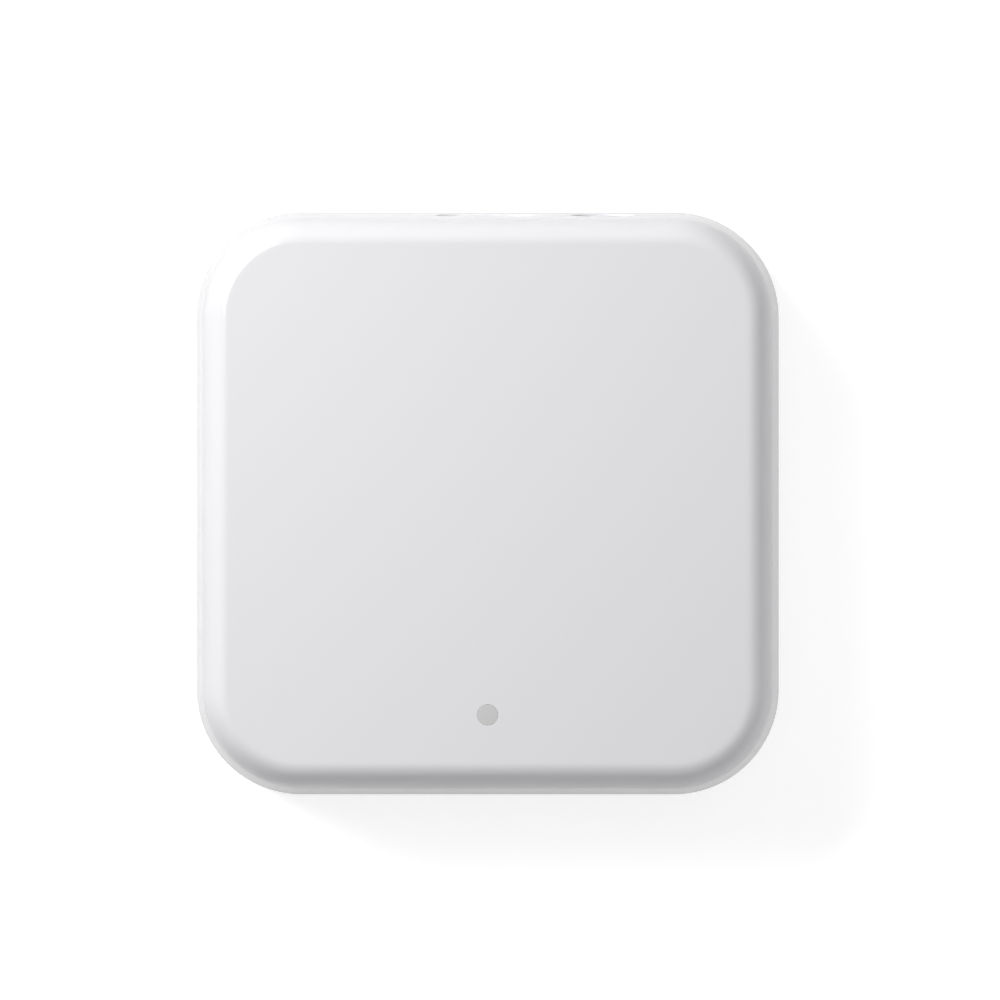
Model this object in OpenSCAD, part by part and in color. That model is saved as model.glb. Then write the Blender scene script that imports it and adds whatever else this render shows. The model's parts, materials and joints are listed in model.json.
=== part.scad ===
// Smart home hub: a square desk-top gateway with one status light in its face.
// Millimetres, Z up. The origin is the centre of the footprint, on the surface that the feet
// stand on. The status light is towards -Y, the power inlet and reset button towards +Y.

/* [Body] */
// Width across X at the widest outline
body_w = 70; // [66:0.5:96]
// Depth along Y at the widest outline
body_d = 70; // [66:0.5:96]
// Height from the feet to the face
body_h = 26; // [21.5:0.25:36]
// Plan corner radius at the widest outline
corner_r = 12.6; // [10.5:0.1:15]
// Radius of the roll between the side walls and the face
edge_r = 2.6; // [2.2:0.1:4]
// Draft of the side walls in degrees
draft = 3; // [0.5:0.25:4]
// Wall thickness of the covers
wall_t = 2; // [1.7:0.1:2.4]

/* [Seam] */
// Height of the parting line above the table
seam_z = 5; // [4.6:0.1:6]
// Reveal gap between the two covers
seam_gap = 0.3; // [0.2:0.05:0.5]
// How far the base steps in from the cover's outline
seam_step = 0.35; // [0.1:0.05:0.6]
// Thickness of the cover's lip outside the base's tongue
lip_t = 0.95; // [0.8:0.05:1.1]
// Height of the base's tongue above the parting line
tongue_h = 2; // [1.2:0.1:2.6]
// Thickness of the base's tongue
tongue_t = 1; // [0.8:0.05:1.1]
// Clearance around the tongue
tongue_play = 0.1; // [0.05:0.05:0.2]

/* [Base] */
// Radius of the roll under the base
base_roll = 1.8; // [1.2:0.1:2.4]
// Rating label width
label_w = 34; // [20:1:38]
// Rating label depth
label_d = 22; // [12:1:30]
// Rating label thickness
label_t = 0.1; // [0.08:0.01:0.15]
// Height of the stiffening ribs on the floor
floor_rib_h = 1.2; // [0.6:0.1:1.6]

/* [Feet] */
// Foot diameter
foot_d = 8; // [6.5:0.1:9.6]
// Foot thickness
foot_t = 1.5; // [1.2:0.1:1.8]
// How far the feet stand proud of the base
foot_proud = 0.8; // [0.5:0.1:1]

/* [Status light] */
// Diameter of the light's window in the face
light_d = 2.5; // [1.5:0.1:3.5]
// Distance of the light from the front outline
light_inset = 9.7; // [9:0.1:12]
// Diameter of the light pipe behind the window
pipe_d = 4; // [3.6:0.1:4.6]
// Height of the shroud that joins the light to the pipe
shroud_h = 5.6; // [3.5:0.1:7]

/* [Power inlet] */
// Height of the inlet and button centres above the table
port_z = 13; // [11.5:0.1:13.5]
// Outer width of the inlet's metal shell
port_w = 8.94; // [8.94:0.01:9.5]
// Outer height of the inlet's metal shell
port_h = 3.2; // [3.16:0.01:3.5]
// Length of the inlet's metal shell
port_l = 7.35; // [6.5:0.05:9]
// Depth of the recesses around the inlet and the button
recess_depth = 0.5; // [0.3:0.05:0.7]

/* [Reset button] */
// Distance of the button from the inlet along X
button_x = 14; // [13:0.1:17]
// Diameter of the button's head
button_d = 4; // [3:0.1:4.6]
// Travel of the button
button_travel = 0.3; // [0.2:0.05:0.35]
// How far the button stands out of its recess
button_proud = 0.42; // [0.35:0.01:0.5]

/* [Circuit board] */
// Board thickness
board_t = 1.6; // [1:0.1:2]
// Gap between the board's sides and the cover
board_side_gap = 1.6; // [1:0.1:3]
// Gap between the board's rear edge and the cover
board_rear_gap = 0.65; // [0.4:0.05:1]
// Gap between the board's front edge and the cover
board_front_gap = 2.15; // [1.8:0.05:4]

/* [Radio modules] */
// Length of the network radio module along X
wlan_l = 25.5; // [22:0.1:27]
// Width of the network radio module along Y
wlan_w = 18; // [14:0.1:20]
// Length of the device radio module along X
mesh_l = 20; // [17:0.1:22]
// Width of the device radio module along Y
mesh_w = 16; // [12:0.1:18]
// Height of the shield cans
can_h = 2.3; // [1.8:0.1:3.2]

/* [Fasteners] */
// Outer thread diameter of the screws
screw_d = 2; // [1.7:0.1:2.2]
// Head diameter of the screws
head_d = 3.8; // [3.2:0.1:4.2]
// Head height of the screws
head_h = 1.3; // [1:0.1:1.5]
// Length of the four case screws below the head
case_screw_l = 8; // [6:0.5:10]
// Length of the four board screws below the head
board_screw_l = 6; // [5:0.5:7]

/* [Hidden] */
$fn = 64;

// Cutters run this far past what they cut.
past = 1;
// Bosses and webs run this far into the wall that carries them.
join = 0.3;
// Running clearance of screws and pins in their bores.
bore_play = 0.04;

// Body heights and walls
base_z = foot_proud;
base_top = seam_z - seam_gap;
floor_z = base_z + wall_t;
roof_z = body_h - wall_t;
inner_roll = 0.4;
corner = [body_w / 2 - corner_r, body_d / 2 - corner_r];
function inset(z) = (z - seam_z) * tan(draft);
function wall_x(z) = body_w / 2 - inset(z);
function wall_y(z) = body_d / 2 - inset(z);

// Bosses that the case screws pull on, each over a foot
foot_play = 0.3;
foot_rim = 1.75;
boss_r = 2.7;
base_boss_r = 3.7;
boss_out = (corner_r - seam_step - base_roll - foot_rim - foot_play - foot_d / 2) / sqrt(2);
boss_seat = seam_z + 0.2;
boss_web = 2;
boss_at = [corner[0] + boss_out, corner[1] + boss_out];
boss_head_play = 0.3;
boss_bore_depth = case_screw_l + 0.5;
hole_play = 0.2;
gusset_t = 1;
web_top = roof_z - 1.2;

// Feet
foot_recess = foot_t - foot_proud;
foot_edge = 0.4;
head_seat = boss_seat - boss_web;

// Label
label_recess = label_t + 0.05;
label_play = 0.2;
label_corner = 1.5;

// Inlet and circuit board
board_top = port_z - port_h / 2;
board_bottom = board_top - board_t;
panel_y = wall_y(port_z) - recess_depth;
inner_x = wall_x(board_top) - wall_t;
inner_y = wall_y(board_top) - wall_t;
board_x = inner_x - board_side_gap;
board_rear = inner_y - board_rear_gap;
board_front = board_front_gap - inner_y;
notch_play = 0.5;
notch = boss_at - (boss_r + notch_play) * [1, 1];

// Bosses that hold the board
pillar_r = 2.4;
pillar_at = [board_x - 4, notch[1] - 4.8];
pillar_web_gap = 2;
board_hole_r = screw_d / 2 + hole_play;

port_front = panel_y - 0.1;
port_back = port_front - port_l;
port_metal = 0.3;
port_play = 0.25;
port_relief = [port_w + 3.5, port_h + 3.5];
port_foot = 0.3;
tongue_w = 6.69;
blade_t = 0.7;
blade_setback = 0.95;
block_l = 2.6;
contact_pitch = 0.5;
contact_count = 12;
contact_w = 0.25;
contact_t = 0.04;
tail_l = 0.9;
tail_t = 0.15;
tab_w = 1.1;
tab_x = port_w / 2 - port_metal / 2;
tab_y = [port_back + 1.4, port_back + 4.1];
tab_play = 0.2;
tab_below = 0.4;

// Reset button and its switch
button_z = port_z;
button_play = 0.2;
button_relief_d = button_d + 4;
flange_r = button_d / 2 + 1.2;
flange_t = 0.8;
flange_y = wall_y(button_z + flange_r) - wall_t - 0.15;
button_end = panel_y + button_proud;
button_round = 0.45;
cap_boss_r = 1.3;
switch_w = 6;
switch_l = 3.2;
switch_h = 2 * (button_z - board_top);
switch_plate_t = 0.2;
switch_front = flange_y - flange_t - 1.2;
switch_back = switch_front - switch_l;
pocket_r = 1.8;
pocket_half = switch_h / 2 - 0.3;
pocket_floor = switch_front - 1.25;
stem_r = 1;
stem_end = switch_front + switch_plate_t + 0.8;
stem_collar_r = 1.55;
stem_collar_half = pocket_half - 0.15;
stem_collar_t = 0.75;
collar_front = switch_front - 0.05;
dome_r = 1.2;
dome_t = 0.06;
dome_rise = 0.38;
board_notch = [flange_r + 0.8, switch_front + switch_plate_t + 0.2];

// Status light
light_y = light_inset - body_d / 2;
light_play = 0.02;
led_size = [3.5, 2.8, 1.9];
led_cup_depth = 0.7;
led_cup_r = [0.9, 1.2];
led_lens_play = 0.02;
led_notch = 0.8;
pipe_gap = 0.5;
pipe_bottom = board_top + led_size[2] + pipe_gap;
shroud_top = board_top + shroud_h;
shroud_r = pipe_d / 2 + 1.25;
shroud_cup_r = norm([led_size[0], led_size[1]]) / 2 + 0.2;
shroud_step = 0.2;
guide_r = pipe_d / 2 + 1.6;
guide_gap = 0.3;
sleeve_play = 0.05;

// Radio modules
module_t = 0.8;
module_y = 0;
can_metal = 0.2;
can_margin = 0.7;
antenna_keep = 6;
trace_w = 0.5;
trace_t = 0.06;
chip_size = [5, 5, 0.85];

// Power parts, in a row behind the modules
power_y = pillar_at[1] - 0.5;
regulator_at = [-11.5, power_y];
regulator_size = [6.5, 3.5, 1.6];
inductor_at = [5, power_y];
inductor_size = [5, 5, 2.6];
can_r = 3.15;
can_base = [6.6, 6.6, 0.9];
can_tall = 5.4;
can_at = [[-pillar_at[0] + 7.2, power_y], [-3, power_y]];
suppressor_at = [0, port_back - 3.2];
suppressor_size = [2.9, 1.6, 1.1];

// Processor, memory and clock crystal, in front of the modules
chip_l = 2;
module_row_gap = 1.4;
module_row_y = module_y - max(wlan_w, mesh_w) / 2 - module_row_gap - chip_l / 2;
processor_size = [10, 10, 0.9];
processor_gap = 0.3;
logic_y = module_row_y - chip_l / 2 - processor_gap - processor_size[1] / 2;
processor_at = [-9, logic_y];
memory_at = [8.5, logic_y];
memory_size = [5.2, 5.3, 1.7];
crystal_at = [-19.5, logic_y];
crystal_size = [3.2, 2.5, 0.7];
pin_dot_depth = 0.05;

// Chip parts: [x, y, turn]
chip_w = 1.25;
chip_end = 0.4;
chip_pitch = 3.2;
capacitor_h = 1;
resistor_h = 0.55;
front_row_y = board_front + 3.2;
port_side_x = port_w / 2 + 2.1;
capacitor_places = concat(
    [for (i = [0:4]) [8 - board_x + chip_pitch * i, module_row_y, 90]],
    [for (i = [0:3]) [board_x - mesh_l + 3 + chip_pitch * i, module_row_y, 90]],
    [for (i = [0:1]) [12 + chip_pitch * i, power_y, 90]]);
resistor_places = concat(
    [for (side = [-1, 1], i = [0:2]) [side * (7 + chip_pitch * i), front_row_y, 90]],
    [for (side = [-1, 1]) [side * port_side_x, port_back + 2.4, 90]],
    [[button_x, switch_back - 2, 0]]);

// ---- shared shapes ----

// Half section of a block whose side wall leans in and rolls over to a flat: x runs outwards
// from the corner centre, y up from the rim.
module rolled_profile(reach, height, roll) {
    centre = [reach - (roll + (height - roll) * sin(draft)) / cos(draft), height - roll];
    touch = centre + roll * [cos(draft), sin(draft)];
    polygon([[0, 0], [reach, 0], touch, [centre[0], height], [0, height]]);
    translate(centre) circle(roll);
}

// Carries a profile round a rounded rectangle: four quarter turns and four straight runs.
module carried_round(w, d, r) {
    for (i = [0:3]) {
        size = i % 2 == 0 ? [w, d] : [d, w];
        rotate(90 * i) translate([size[0] / 2 - r, size[1] / 2 - r, 0]) {
            rotate_extrude(angle = 90) children();
            rotate([90, 0, 0]) linear_extrude(size[1] - 2 * r) children();
        }
    }
}

// Closed block with the rolled profile on every side.
module rolled_block(w, d, r, height, roll) {
    carried_round(w, d, r) rolled_profile(r, height, roll);
    translate([r - w / 2, r - d / 2, 0]) cube([w - 2 * r, d - 2 * r, height]);
}

// Flat rounded rectangle.
module rounded_rectangle(w, d, r) {
    square([w - 2 * r, d], center = true);
    square([w, d - 2 * r], center = true);
    for (x = [-1, 1], y = [-1, 1])
        translate([x * (w / 2 - r), y * (d / 2 - r)]) circle(r);
}

// Round-ended slot of full width w and height h.
module slot_outline(w, h) {
    square([w - h, h], center = true);
    for (x = [-1, 1])
        translate([x * (w - h) / 2, 0]) circle(h / 2);
}

// Stands a flat outline up across Y, from y0 to y1, at height z.
module along_y(y0, y1, x, z) {
    translate([x, y1, z]) rotate([90, 0, 0]) linear_extrude(y1 - y0) children();
}

// Copies its children to each of the four bosses at [x, y].
module at_four(place) {
    for (x = [-1, 1], y = [-1, 1])
        translate([x * place[0], y * place[1], 0]) children();
}

// Gull-wing lead in the XZ plane: it leaves the part at x = 0 and lands on the board at z = 0.
module gull_lead(width, rise, reach, metal) {
    translate([0, width / 2, 0]) rotate([90, 0, 0]) linear_extrude(width)
        polygon([[0, rise], [reach * 0.35, rise], [reach * 0.6, metal], [reach, metal], [reach, 0],
            [reach * 0.5, 0], [reach * 0.25, rise - metal], [0, rise - metal]]);
}

// Pan-head thread-forming screw pointing up from its head's seat at z = 0.
module screw(length) {
    thread_pitch = 0.8;
    root_r = screw_d / 2 - 0.22;
    crest_r = screw_d / 2;
    plain = 1;
    turns = floor((length - plain - 1.2) / thread_pitch);
    tip_z = plain + turns * thread_pitch;
    difference() {
        union() {
            rotate_extrude() polygon(concat(
                [[0, -0.1], [root_r, -0.1], [root_r, plain]],
                [for (i = [0:turns - 1], k = [0:1])
                    [k == 0 ? crest_r : root_r, plain + thread_pitch * (i + 0.45 + 0.55 * k)]],
                [[root_r * 0.3, length], [0, length]]));
            rotate_extrude() intersection() {
                translate([0, -head_h]) square([head_d / 2, head_h]);
                translate([0, head_d * 0.65 - head_h]) circle(head_d * 0.65);
            }
        }
        for (turn = [0, 90])
            rotate(turn) translate([-head_d * 0.28, -0.22, -head_h - past])
                cube([head_d * 0.56, 0.44, past + head_h * 0.6]);
    }
}

// ---- case ----

module top_cover() {
    color("white") difference() {
        union() {
            difference() {
                translate([0, 0, seam_z])
                    rolled_block(body_w, body_d, corner_r, body_h - seam_z, edge_r);
                translate([0, 0, seam_z])
                    rolled_block(body_w - 2 * wall_t, body_d - 2 * wall_t, corner_r - wall_t,
                        roof_z - seam_z, max(edge_r - wall_t, inner_roll));
                translate([0, 0, seam_z - past])
                    linear_extrude(past + tongue_h + seam_gap)
                        rounded_rectangle(body_w - 2 * lip_t, body_d - 2 * lip_t,
                            corner_r - lip_t);
            }
            case_bosses();
            board_pillars();
            light_guide();
        }
        cover_openings();
    }
}

// Long bosses for the case screws, each with a web out to its corner.
module case_bosses() {
    reach = corner_r - inset(web_top) - wall_t / 2 - boss_out * sqrt(2);
    at_four(boss_at)
        translate([0, 0, boss_seat]) cylinder(r = boss_r, h = roof_z + join - boss_seat);
    for (x = [-1, 1], y = [-1, 1])
        translate([x * boss_at[0], y * boss_at[1], board_top])
            rotate(atan2(y, x)) translate([0, -gusset_t / 2, 0])
                cube([reach, gusset_t, web_top - board_top]);
}

// Pillars that the board hangs from, each with a web out to the side wall.
module board_pillars() {
    web_bottom = board_top + pillar_web_gap;
    reach = wall_x(web_top) - wall_t / 2 - pillar_at[0];
    at_four(pillar_at)
        translate([0, 0, board_top]) cylinder(r = pillar_r, h = roof_z + join - board_top);
    for (side = [0, 180], y = [-1, 1])
        rotate(side) translate([pillar_at[0], y * pillar_at[1] - gusset_t / 2, web_bottom])
            cube([reach, gusset_t, web_top - web_bottom]);
}

// Tube under the roof that centres the light pipe.
module light_guide() {
    bottom = shroud_top + guide_gap;
    translate([0, light_y, bottom]) cylinder(r = guide_r, h = roof_z + join - bottom);
}

// Bores and openings in the cover: screw bores, light window, inlet and button holes.
module cover_openings() {
    bore_r = screw_d / 2 + bore_play;
    at_four(boss_at)
        translate([0, 0, boss_seat - past]) cylinder(r = bore_r, h = past + boss_bore_depth);
    at_four(pillar_at)
        translate([0, 0, board_top - past]) cylinder(r = bore_r, h = past + board_screw_l);
    translate([0, light_y, shroud_top - past])
        cylinder(r = pipe_d / 2 + sleeve_play, h = roof_z - shroud_top + past);
    translate([0, light_y, roof_z - past])
        cylinder(r = light_d / 2 + light_play, h = wall_t + 2 * past);
    along_y(inner_y - past, body_d / 2 + past, 0, port_z)
        slot_outline(port_w + 2 * port_play, port_h + 2 * port_play);
    along_y(panel_y, body_d / 2 + past, 0, port_z)
        slot_outline(port_relief[0], port_relief[1]);
    along_y(inner_y - past, body_d / 2 + past, button_x, button_z)
        circle(button_d / 2 + button_play);
    along_y(panel_y, body_d / 2 + past, button_x, button_z)
        circle(button_relief_d / 2);
}

module bottom_cover() {
    w = body_w - 2 * seam_step;
    d = body_d - 2 * seam_step;
    r = corner_r - seam_step;
    color("whitesmoke") difference() {
        union() {
            difference() {
                translate([0, 0, base_top]) mirror([0, 0, 1])
                    rolled_block(w, d, r, base_top - base_z, base_roll);
                translate([0, 0, base_top + past]) mirror([0, 0, 1])
                    rolled_block(w - 2 * wall_t, d - 2 * wall_t, r - wall_t,
                        base_top - floor_z + past, inner_roll);
            }
            base_tongue();
            floor_ribs();
            at_four(boss_at)
                translate([0, 0, floor_z - join])
                    cylinder(r = base_boss_r, h = boss_seat - floor_z + join);
        }
        base_openings();
    }
}

// Ring that stands up inside the cover's lip.
module base_tongue() {
    outer = corner_r - lip_t - tongue_play;
    bottom = base_top - seam_gap;
    carried_round(body_w, body_d, corner_r)
        translate([outer - tongue_t, bottom]) square([tongue_t, seam_z + tongue_h - bottom]);
}

// Crossing ribs that stiffen the floor between the bosses.
module floor_ribs() {
    span = [body_w, body_d] / 2 - (seam_step + wall_t / 2) * [1, 1];
    bottom = floor_z - join;
    height = floor_rib_h + join;
    for (side = [-1, 1]) {
        translate([-span[0], (side * boss_at[1] - gusset_t) / 2, bottom])
            cube([2 * span[0], gusset_t, height]);
        translate([(side * boss_at[0] - gusset_t) / 2, -span[1], bottom])
            cube([gusset_t, 2 * span[1], height]);
    }
}

// Foot recesses, screw counterbores and clearance holes, and the label's recess.
module base_openings() {
    at_four(boss_at) {
        translate([0, 0, base_z - past])
            cylinder(r = foot_d / 2 + foot_play, h = past + foot_recess);
        translate([0, 0, base_z])
            cylinder(r = head_d / 2 + boss_head_play, h = head_seat - base_z);
        translate([0, 0, base_z])
            cylinder(r = screw_d / 2 + hole_play, h = boss_seat);
    }
    translate([0, 0, base_z - past]) linear_extrude(past + label_recess)
        rounded_rectangle(label_w + 2 * label_play, label_d + 2 * label_play,
            label_corner + label_play);
}

module rating_label() {
    color("silver") translate([0, 0, base_z + label_recess - label_t])
        linear_extrude(label_t) rounded_rectangle(label_w, label_d, label_corner);
}

// Round stick-on foot with a rolled lower edge.
module foot(side_x, side_y) {
    r = foot_d / 2;
    color("dimgray") translate([side_x * boss_at[0], side_y * boss_at[1], 0])
        rotate_extrude() {
            square([r - foot_edge, foot_t]);
            translate([0, foot_edge]) square([r, foot_t - foot_edge]);
            translate([r - foot_edge, foot_edge]) circle(foot_edge);
        }
}

module case_screws() {
    color("silver") at_four(boss_at) translate([0, 0, head_seat]) screw(case_screw_l);
}

// ---- status light ----

module light_pipe() {
    color("gainsboro") translate([0, light_y, 0]) {
        translate([0, 0, pipe_bottom]) cylinder(d = pipe_d, h = roof_z - pipe_bottom);
        translate([0, 0, roof_z - past]) cylinder(d = light_d, h = wall_t + past);
    }
}

module light_shroud() {
    cup_top = pipe_bottom - shroud_step;
    color("black") translate([0, light_y, 0]) difference() {
        translate([0, 0, board_top]) cylinder(r = shroud_r, h = shroud_h);
        translate([0, 0, board_top - past])
            cylinder(r = shroud_cup_r, h = cup_top - board_top + past);
        translate([0, 0, board_top]) cylinder(r = pipe_d / 2 + sleeve_play, h = shroud_h + past);
    }
}

// Moulded body with a flared cup in its top and one notched corner.
module status_led_body() {
    color("ivory") translate([0, light_y, board_top]) difference() {
        translate([-led_size[0] / 2, -led_size[1] / 2, 0]) cube(led_size);
        translate([0, 0, led_size[2] - led_cup_depth])
            cylinder(r1 = led_cup_r[0], r2 = 2 * led_cup_r[1] - led_cup_r[0],
                h = 2 * led_cup_depth);
        translate([led_size[0] / 2, led_size[1] / 2, led_size[2] / 2])
            rotate(45) cube([led_notch, led_notch, 2 * led_size[2]], center = true);
    }
}

// Resin that fills the cup.
module status_led_lens() {
    color("lightyellow") translate([0, light_y, board_top + led_size[2] - led_cup_depth])
        cylinder(r1 = led_cup_r[0] - led_lens_play, r2 = led_cup_r[1] - led_lens_play,
            h = led_cup_depth);
}

// ---- circuit board ----

module main_board() {
    color("darkgreen") difference() {
        translate([-board_x, board_front, board_bottom])
            cube([2 * board_x, board_rear - board_front, board_t]);
        for (x = [-1, 1], y = [-1, 1])
            translate([x * (notch[0] + body_w / 2), y * (notch[1] + body_d / 2), board_bottom])
                cube([body_w, body_d, 4 * board_t], center = true);
        at_four(pillar_at)
            translate([0, 0, board_bottom - past]) cylinder(r = board_hole_r, h = board_t + 2 * past);
        translate([button_x - board_notch[0], board_notch[1], board_bottom - past])
            cube([2 * board_notch[0], body_d, board_t + 2 * past]);
        for (x = [-1, 1], y = tab_y)
            translate([x * tab_x, y, board_bottom + board_t / 2])
                cube([port_metal + 2 * tab_play, tab_w + 2 * tab_play, board_t + past],
                    center = true);
    }
}

module board_screws() {
    color("silver") at_four(pillar_at) translate([0, 0, board_bottom]) screw(board_screw_l);
}

// ---- radio modules ----

// Module board with half-round solder cuts along both long sides.
// The board starts at x0 and runs along X; its antenna end faces away from the origin.
module module_board(x0, x1, w) {
    cut_r = 0.45;
    cut_pitch = 1.5;
    inward = x0 < -x1 ? 1 : -1;
    solder_x0 = inward > 0 ? x1 : x0;
    count = floor((x1 - x0 - antenna_keep - 2) / cut_pitch);
    color("midnightblue") difference() {
        translate([x0, module_y - w / 2, board_top]) cube([x1 - x0, w, module_t]);
        for (i = [0:count - 1], side = [-1, 1])
            translate([solder_x0 - inward * (1.8 + cut_pitch * i), module_y + side * w / 2,
                board_top - past])
                cylinder(r = cut_r, h = module_t + 2 * past);
    }
}

// Drawn-steel shield can: a thin box open towards the board.
module module_shield(x0, x1, w) {
    inward = x0 < -x1 ? 1 : -1;
    size = [x1 - x0 - antenna_keep - 2 * can_margin, w - 2 * can_margin - 1];
    centre_x = (x0 + x1) / 2 + inward * antenna_keep / 2;
    r = 0.7;
    color("gainsboro") translate([centre_x, module_y, board_top + module_t]) difference() {
        linear_extrude(can_h) rounded_rectangle(size[0], size[1], r);
        translate([0, 0, -past]) linear_extrude(can_h - can_metal + past)
            rounded_rectangle(size[0] - 2 * can_metal, size[1] - 2 * can_metal, r - can_metal);
        translate([size[0] / 2 - 2, size[1] / 2 - 2, can_h - past])
            cylinder(r = 0.5, h = 2 * past);
    }
}

// Radio chip under the shield.
module module_chip(x0, x1) {
    inward = x0 < -x1 ? 1 : -1;
    centre_x = (x0 + x1) / 2 + inward * antenna_keep / 2;
    color("black") translate([centre_x - chip_size[0] / 2, module_y - chip_size[1] / 2,
        board_top + module_t])
        cube(chip_size);
}

// Meandering antenna printed on the end of a module that faces the wall.
module antenna_trace(x0, x1, w) {
    inward = x0 < -x1 ? 1 : -1;
    edge_x = inward > 0 ? x0 : x1;
    runs = 7;
    step = (w - 3) / (runs - 1);
    depth = antenna_keep - 1.8;
    near = edge_x + inward * 0.9;
    color("goldenrod") translate([0, 0, board_top + module_t]) {
        for (i = [0:runs - 1])
            translate([near + inward * depth / 2, module_y - w / 2 + 1.5 + step * i, trace_t / 2])
                cube([depth, trace_w, trace_t], center = true);
        for (i = [0:runs - 2])
            translate([i % 2 == 0 ? near + inward * trace_w / 2
                : near + inward * (depth - trace_w / 2),
                module_y - w / 2 + 1.5 + step * (i + 0.5), trace_t / 2])
                cube([trace_w, step + trace_w, trace_t], center = true);
    }
}

wlan_span = [-board_x, -board_x + wlan_l];
mesh_span = [board_x - mesh_l, board_x];
module wlan_module_board() { module_board(wlan_span[0], wlan_span[1], wlan_w); }
module wlan_module_chip() { module_chip(wlan_span[0], wlan_span[1]); }
module wlan_module_shield() { module_shield(wlan_span[0], wlan_span[1], wlan_w); }
module wlan_antenna_trace() { antenna_trace(wlan_span[0], wlan_span[1], wlan_w); }
module mesh_module_board() { module_board(mesh_span[0], mesh_span[1], mesh_w); }
module mesh_module_chip() { module_chip(mesh_span[0], mesh_span[1]); }
module mesh_module_shield() { module_shield(mesh_span[0], mesh_span[1], mesh_w); }
module mesh_antenna_trace() { antenna_trace(mesh_span[0], mesh_span[1], mesh_w); }

// ---- power inlet ----

module inlet_shell() {
    color("silver") {
        difference() {
            along_y(port_back + port_foot, port_front, 0, port_z) slot_outline(port_w, port_h);
            along_y(port_back, port_front + past, 0, port_z)
                slot_outline(port_w - 2 * port_metal, port_h - 2 * port_metal);
        }
        for (x = [-1, 1], y = tab_y)
            translate([x * tab_x, y, 0]) translate([-port_metal / 2, -tab_w / 2,
                board_bottom - tab_below])
                cube([port_metal, tab_w, port_z - board_bottom + tab_below]);
    }
}

module inlet_insulator() {
    fit = 0.03;
    block = [port_w - 2 * port_metal - 2 * fit, port_h - 2 * port_metal - 2 * fit];
    color("black") {
        along_y(port_back, port_back + block_l, 0, port_z) slot_outline(block[0], block[1]);
        translate([-tongue_w / 2, port_back, board_top])
            cube([tongue_w, port_foot, port_z - board_top]);
        translate([-tongue_w / 2, port_back + block_l - 0.1, port_z - blade_t / 2])
            cube([tongue_w, port_l - block_l + 0.1 - blade_setback, blade_t]);
    }
}

// Contact strips on both faces of the tongue, and the tails that are soldered to the board.
module inlet_contacts() {
    strip_l = port_l - block_l - blade_setback - 0.6;
    color("gold") for (i = [0:contact_count - 1]) {
        x = contact_pitch * (i - (contact_count - 1) / 2);
        for (side = [-1, 1])
            translate([x, port_back + block_l + strip_l / 2,
                port_z + side * (blade_t + contact_t) / 2])
                cube([contact_w, strip_l, contact_t], center = true);
        translate([x - contact_w / 2, port_back - tail_l, board_top])
            cube([contact_w, tail_l, tail_t]);
    }
}

// ---- reset button ----

module reset_button() {
    r = button_d / 2;
    length = button_end - flange_y;
    dome_edge = button_round;
    color("whitesmoke") translate([button_x, flange_y, button_z]) rotate([-90, 0, 0]) {
        rotate_extrude() {
            square([r - dome_edge, length]);
            square([r, length - dome_edge]);
            translate([r - dome_edge, length - dome_edge]) circle(dome_edge);
        }
        translate([0, 0, -flange_t]) cylinder(r = flange_r, h = flange_t);
        translate([0, 0, stem_end - flange_y])
            cylinder(r = cap_boss_r, h = flange_y - stem_end);
    }
}

module reset_switch_housing() {
    color("black") difference() {
        translate([button_x - switch_w / 2, switch_back, board_top])
            cube([switch_w, switch_l, switch_h - switch_plate_t]);
        along_y(pocket_floor, switch_front + past, button_x, button_z)
            intersection() {
                circle(pocket_r);
                square([2 * pocket_r, 2 * pocket_half], center = true);
            }
    }
}

// Bent steel plate over the front and top of the switch.
module reset_switch_plate() {
    color("silver") difference() {
        union() {
            translate([button_x - switch_w / 2, switch_front, board_top])
                cube([switch_w, switch_plate_t, switch_h]);
            translate([button_x - switch_w / 2, switch_back + 0.8,
                board_top + switch_h - switch_plate_t])
                cube([switch_w, switch_l - 0.8, switch_plate_t]);
        }
        along_y(switch_front - past, switch_front + past, button_x, button_z)
            circle(stem_r + 0.15);
    }
}

// Four solder tabs at the sides of the switch.
module reset_switch_terminals() {
    tab = [0.9, 0.7, 0.15];
    color("gainsboro") for (side = [-1, 1], y = [switch_back + 0.4, switch_front - 1.1])
        translate([button_x + side * (switch_w + tab[0]) / 2 - tab[0] / 2, y, board_top])
            cube(tab);
}

// Snap dome on the pocket's floor, hollow side down.
module reset_switch_dome() {
    outer = (dome_rise * dome_rise + dome_r * dome_r) / (2 * dome_rise);
    color("silver") translate([button_x, pocket_floor, button_z]) rotate([-90, 0, 0])
        intersection() {
            cylinder(r = dome_r + 1, h = dome_rise + 1);
            translate([0, 0, dome_rise - outer]) difference() {
                sphere(outer);
                sphere(outer - dome_t);
            }
        }
}

// Plunger with a collar that is trapped behind the plate.
module reset_switch_stem() {
    color("dimgray") translate([button_x, 0, button_z]) rotate([-90, 0, 0]) {
        translate([0, 0, collar_front - stem_collar_t])
            intersection() {
                cylinder(r = stem_collar_r, h = stem_collar_t);
                cube([2 * stem_collar_r, 2 * stem_collar_half, 3 * stem_collar_t], center = true);
            }
        translate([0, 0, collar_front - stem_collar_t])
            cylinder(r = stem_r, h = stem_end - collar_front + stem_collar_t);
    }
}

// ---- power parts ----

module voltage_regulator() {
    color("black") translate([regulator_at[0], regulator_at[1], board_top + 0.1])
        translate([-regulator_size[0] / 2, -regulator_size[1] / 2, 0]) cube(regulator_size);
}

// Three leads on the front side and one wide tab on the rear side.
module regulator_leads() {
    rise = 0.9;
    metal = 0.25;
    color("silver") translate([regulator_at[0], regulator_at[1], board_top]) {
        for (i = [-1:1])
            translate([2.3 * i, -regulator_size[1] / 2, 0]) rotate(-90)
                gull_lead(0.7, rise, 1.75, metal);
        translate([0, regulator_size[1] / 2, 0]) rotate(90) gull_lead(3, rise, 1.75, metal);
    }
}

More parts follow.
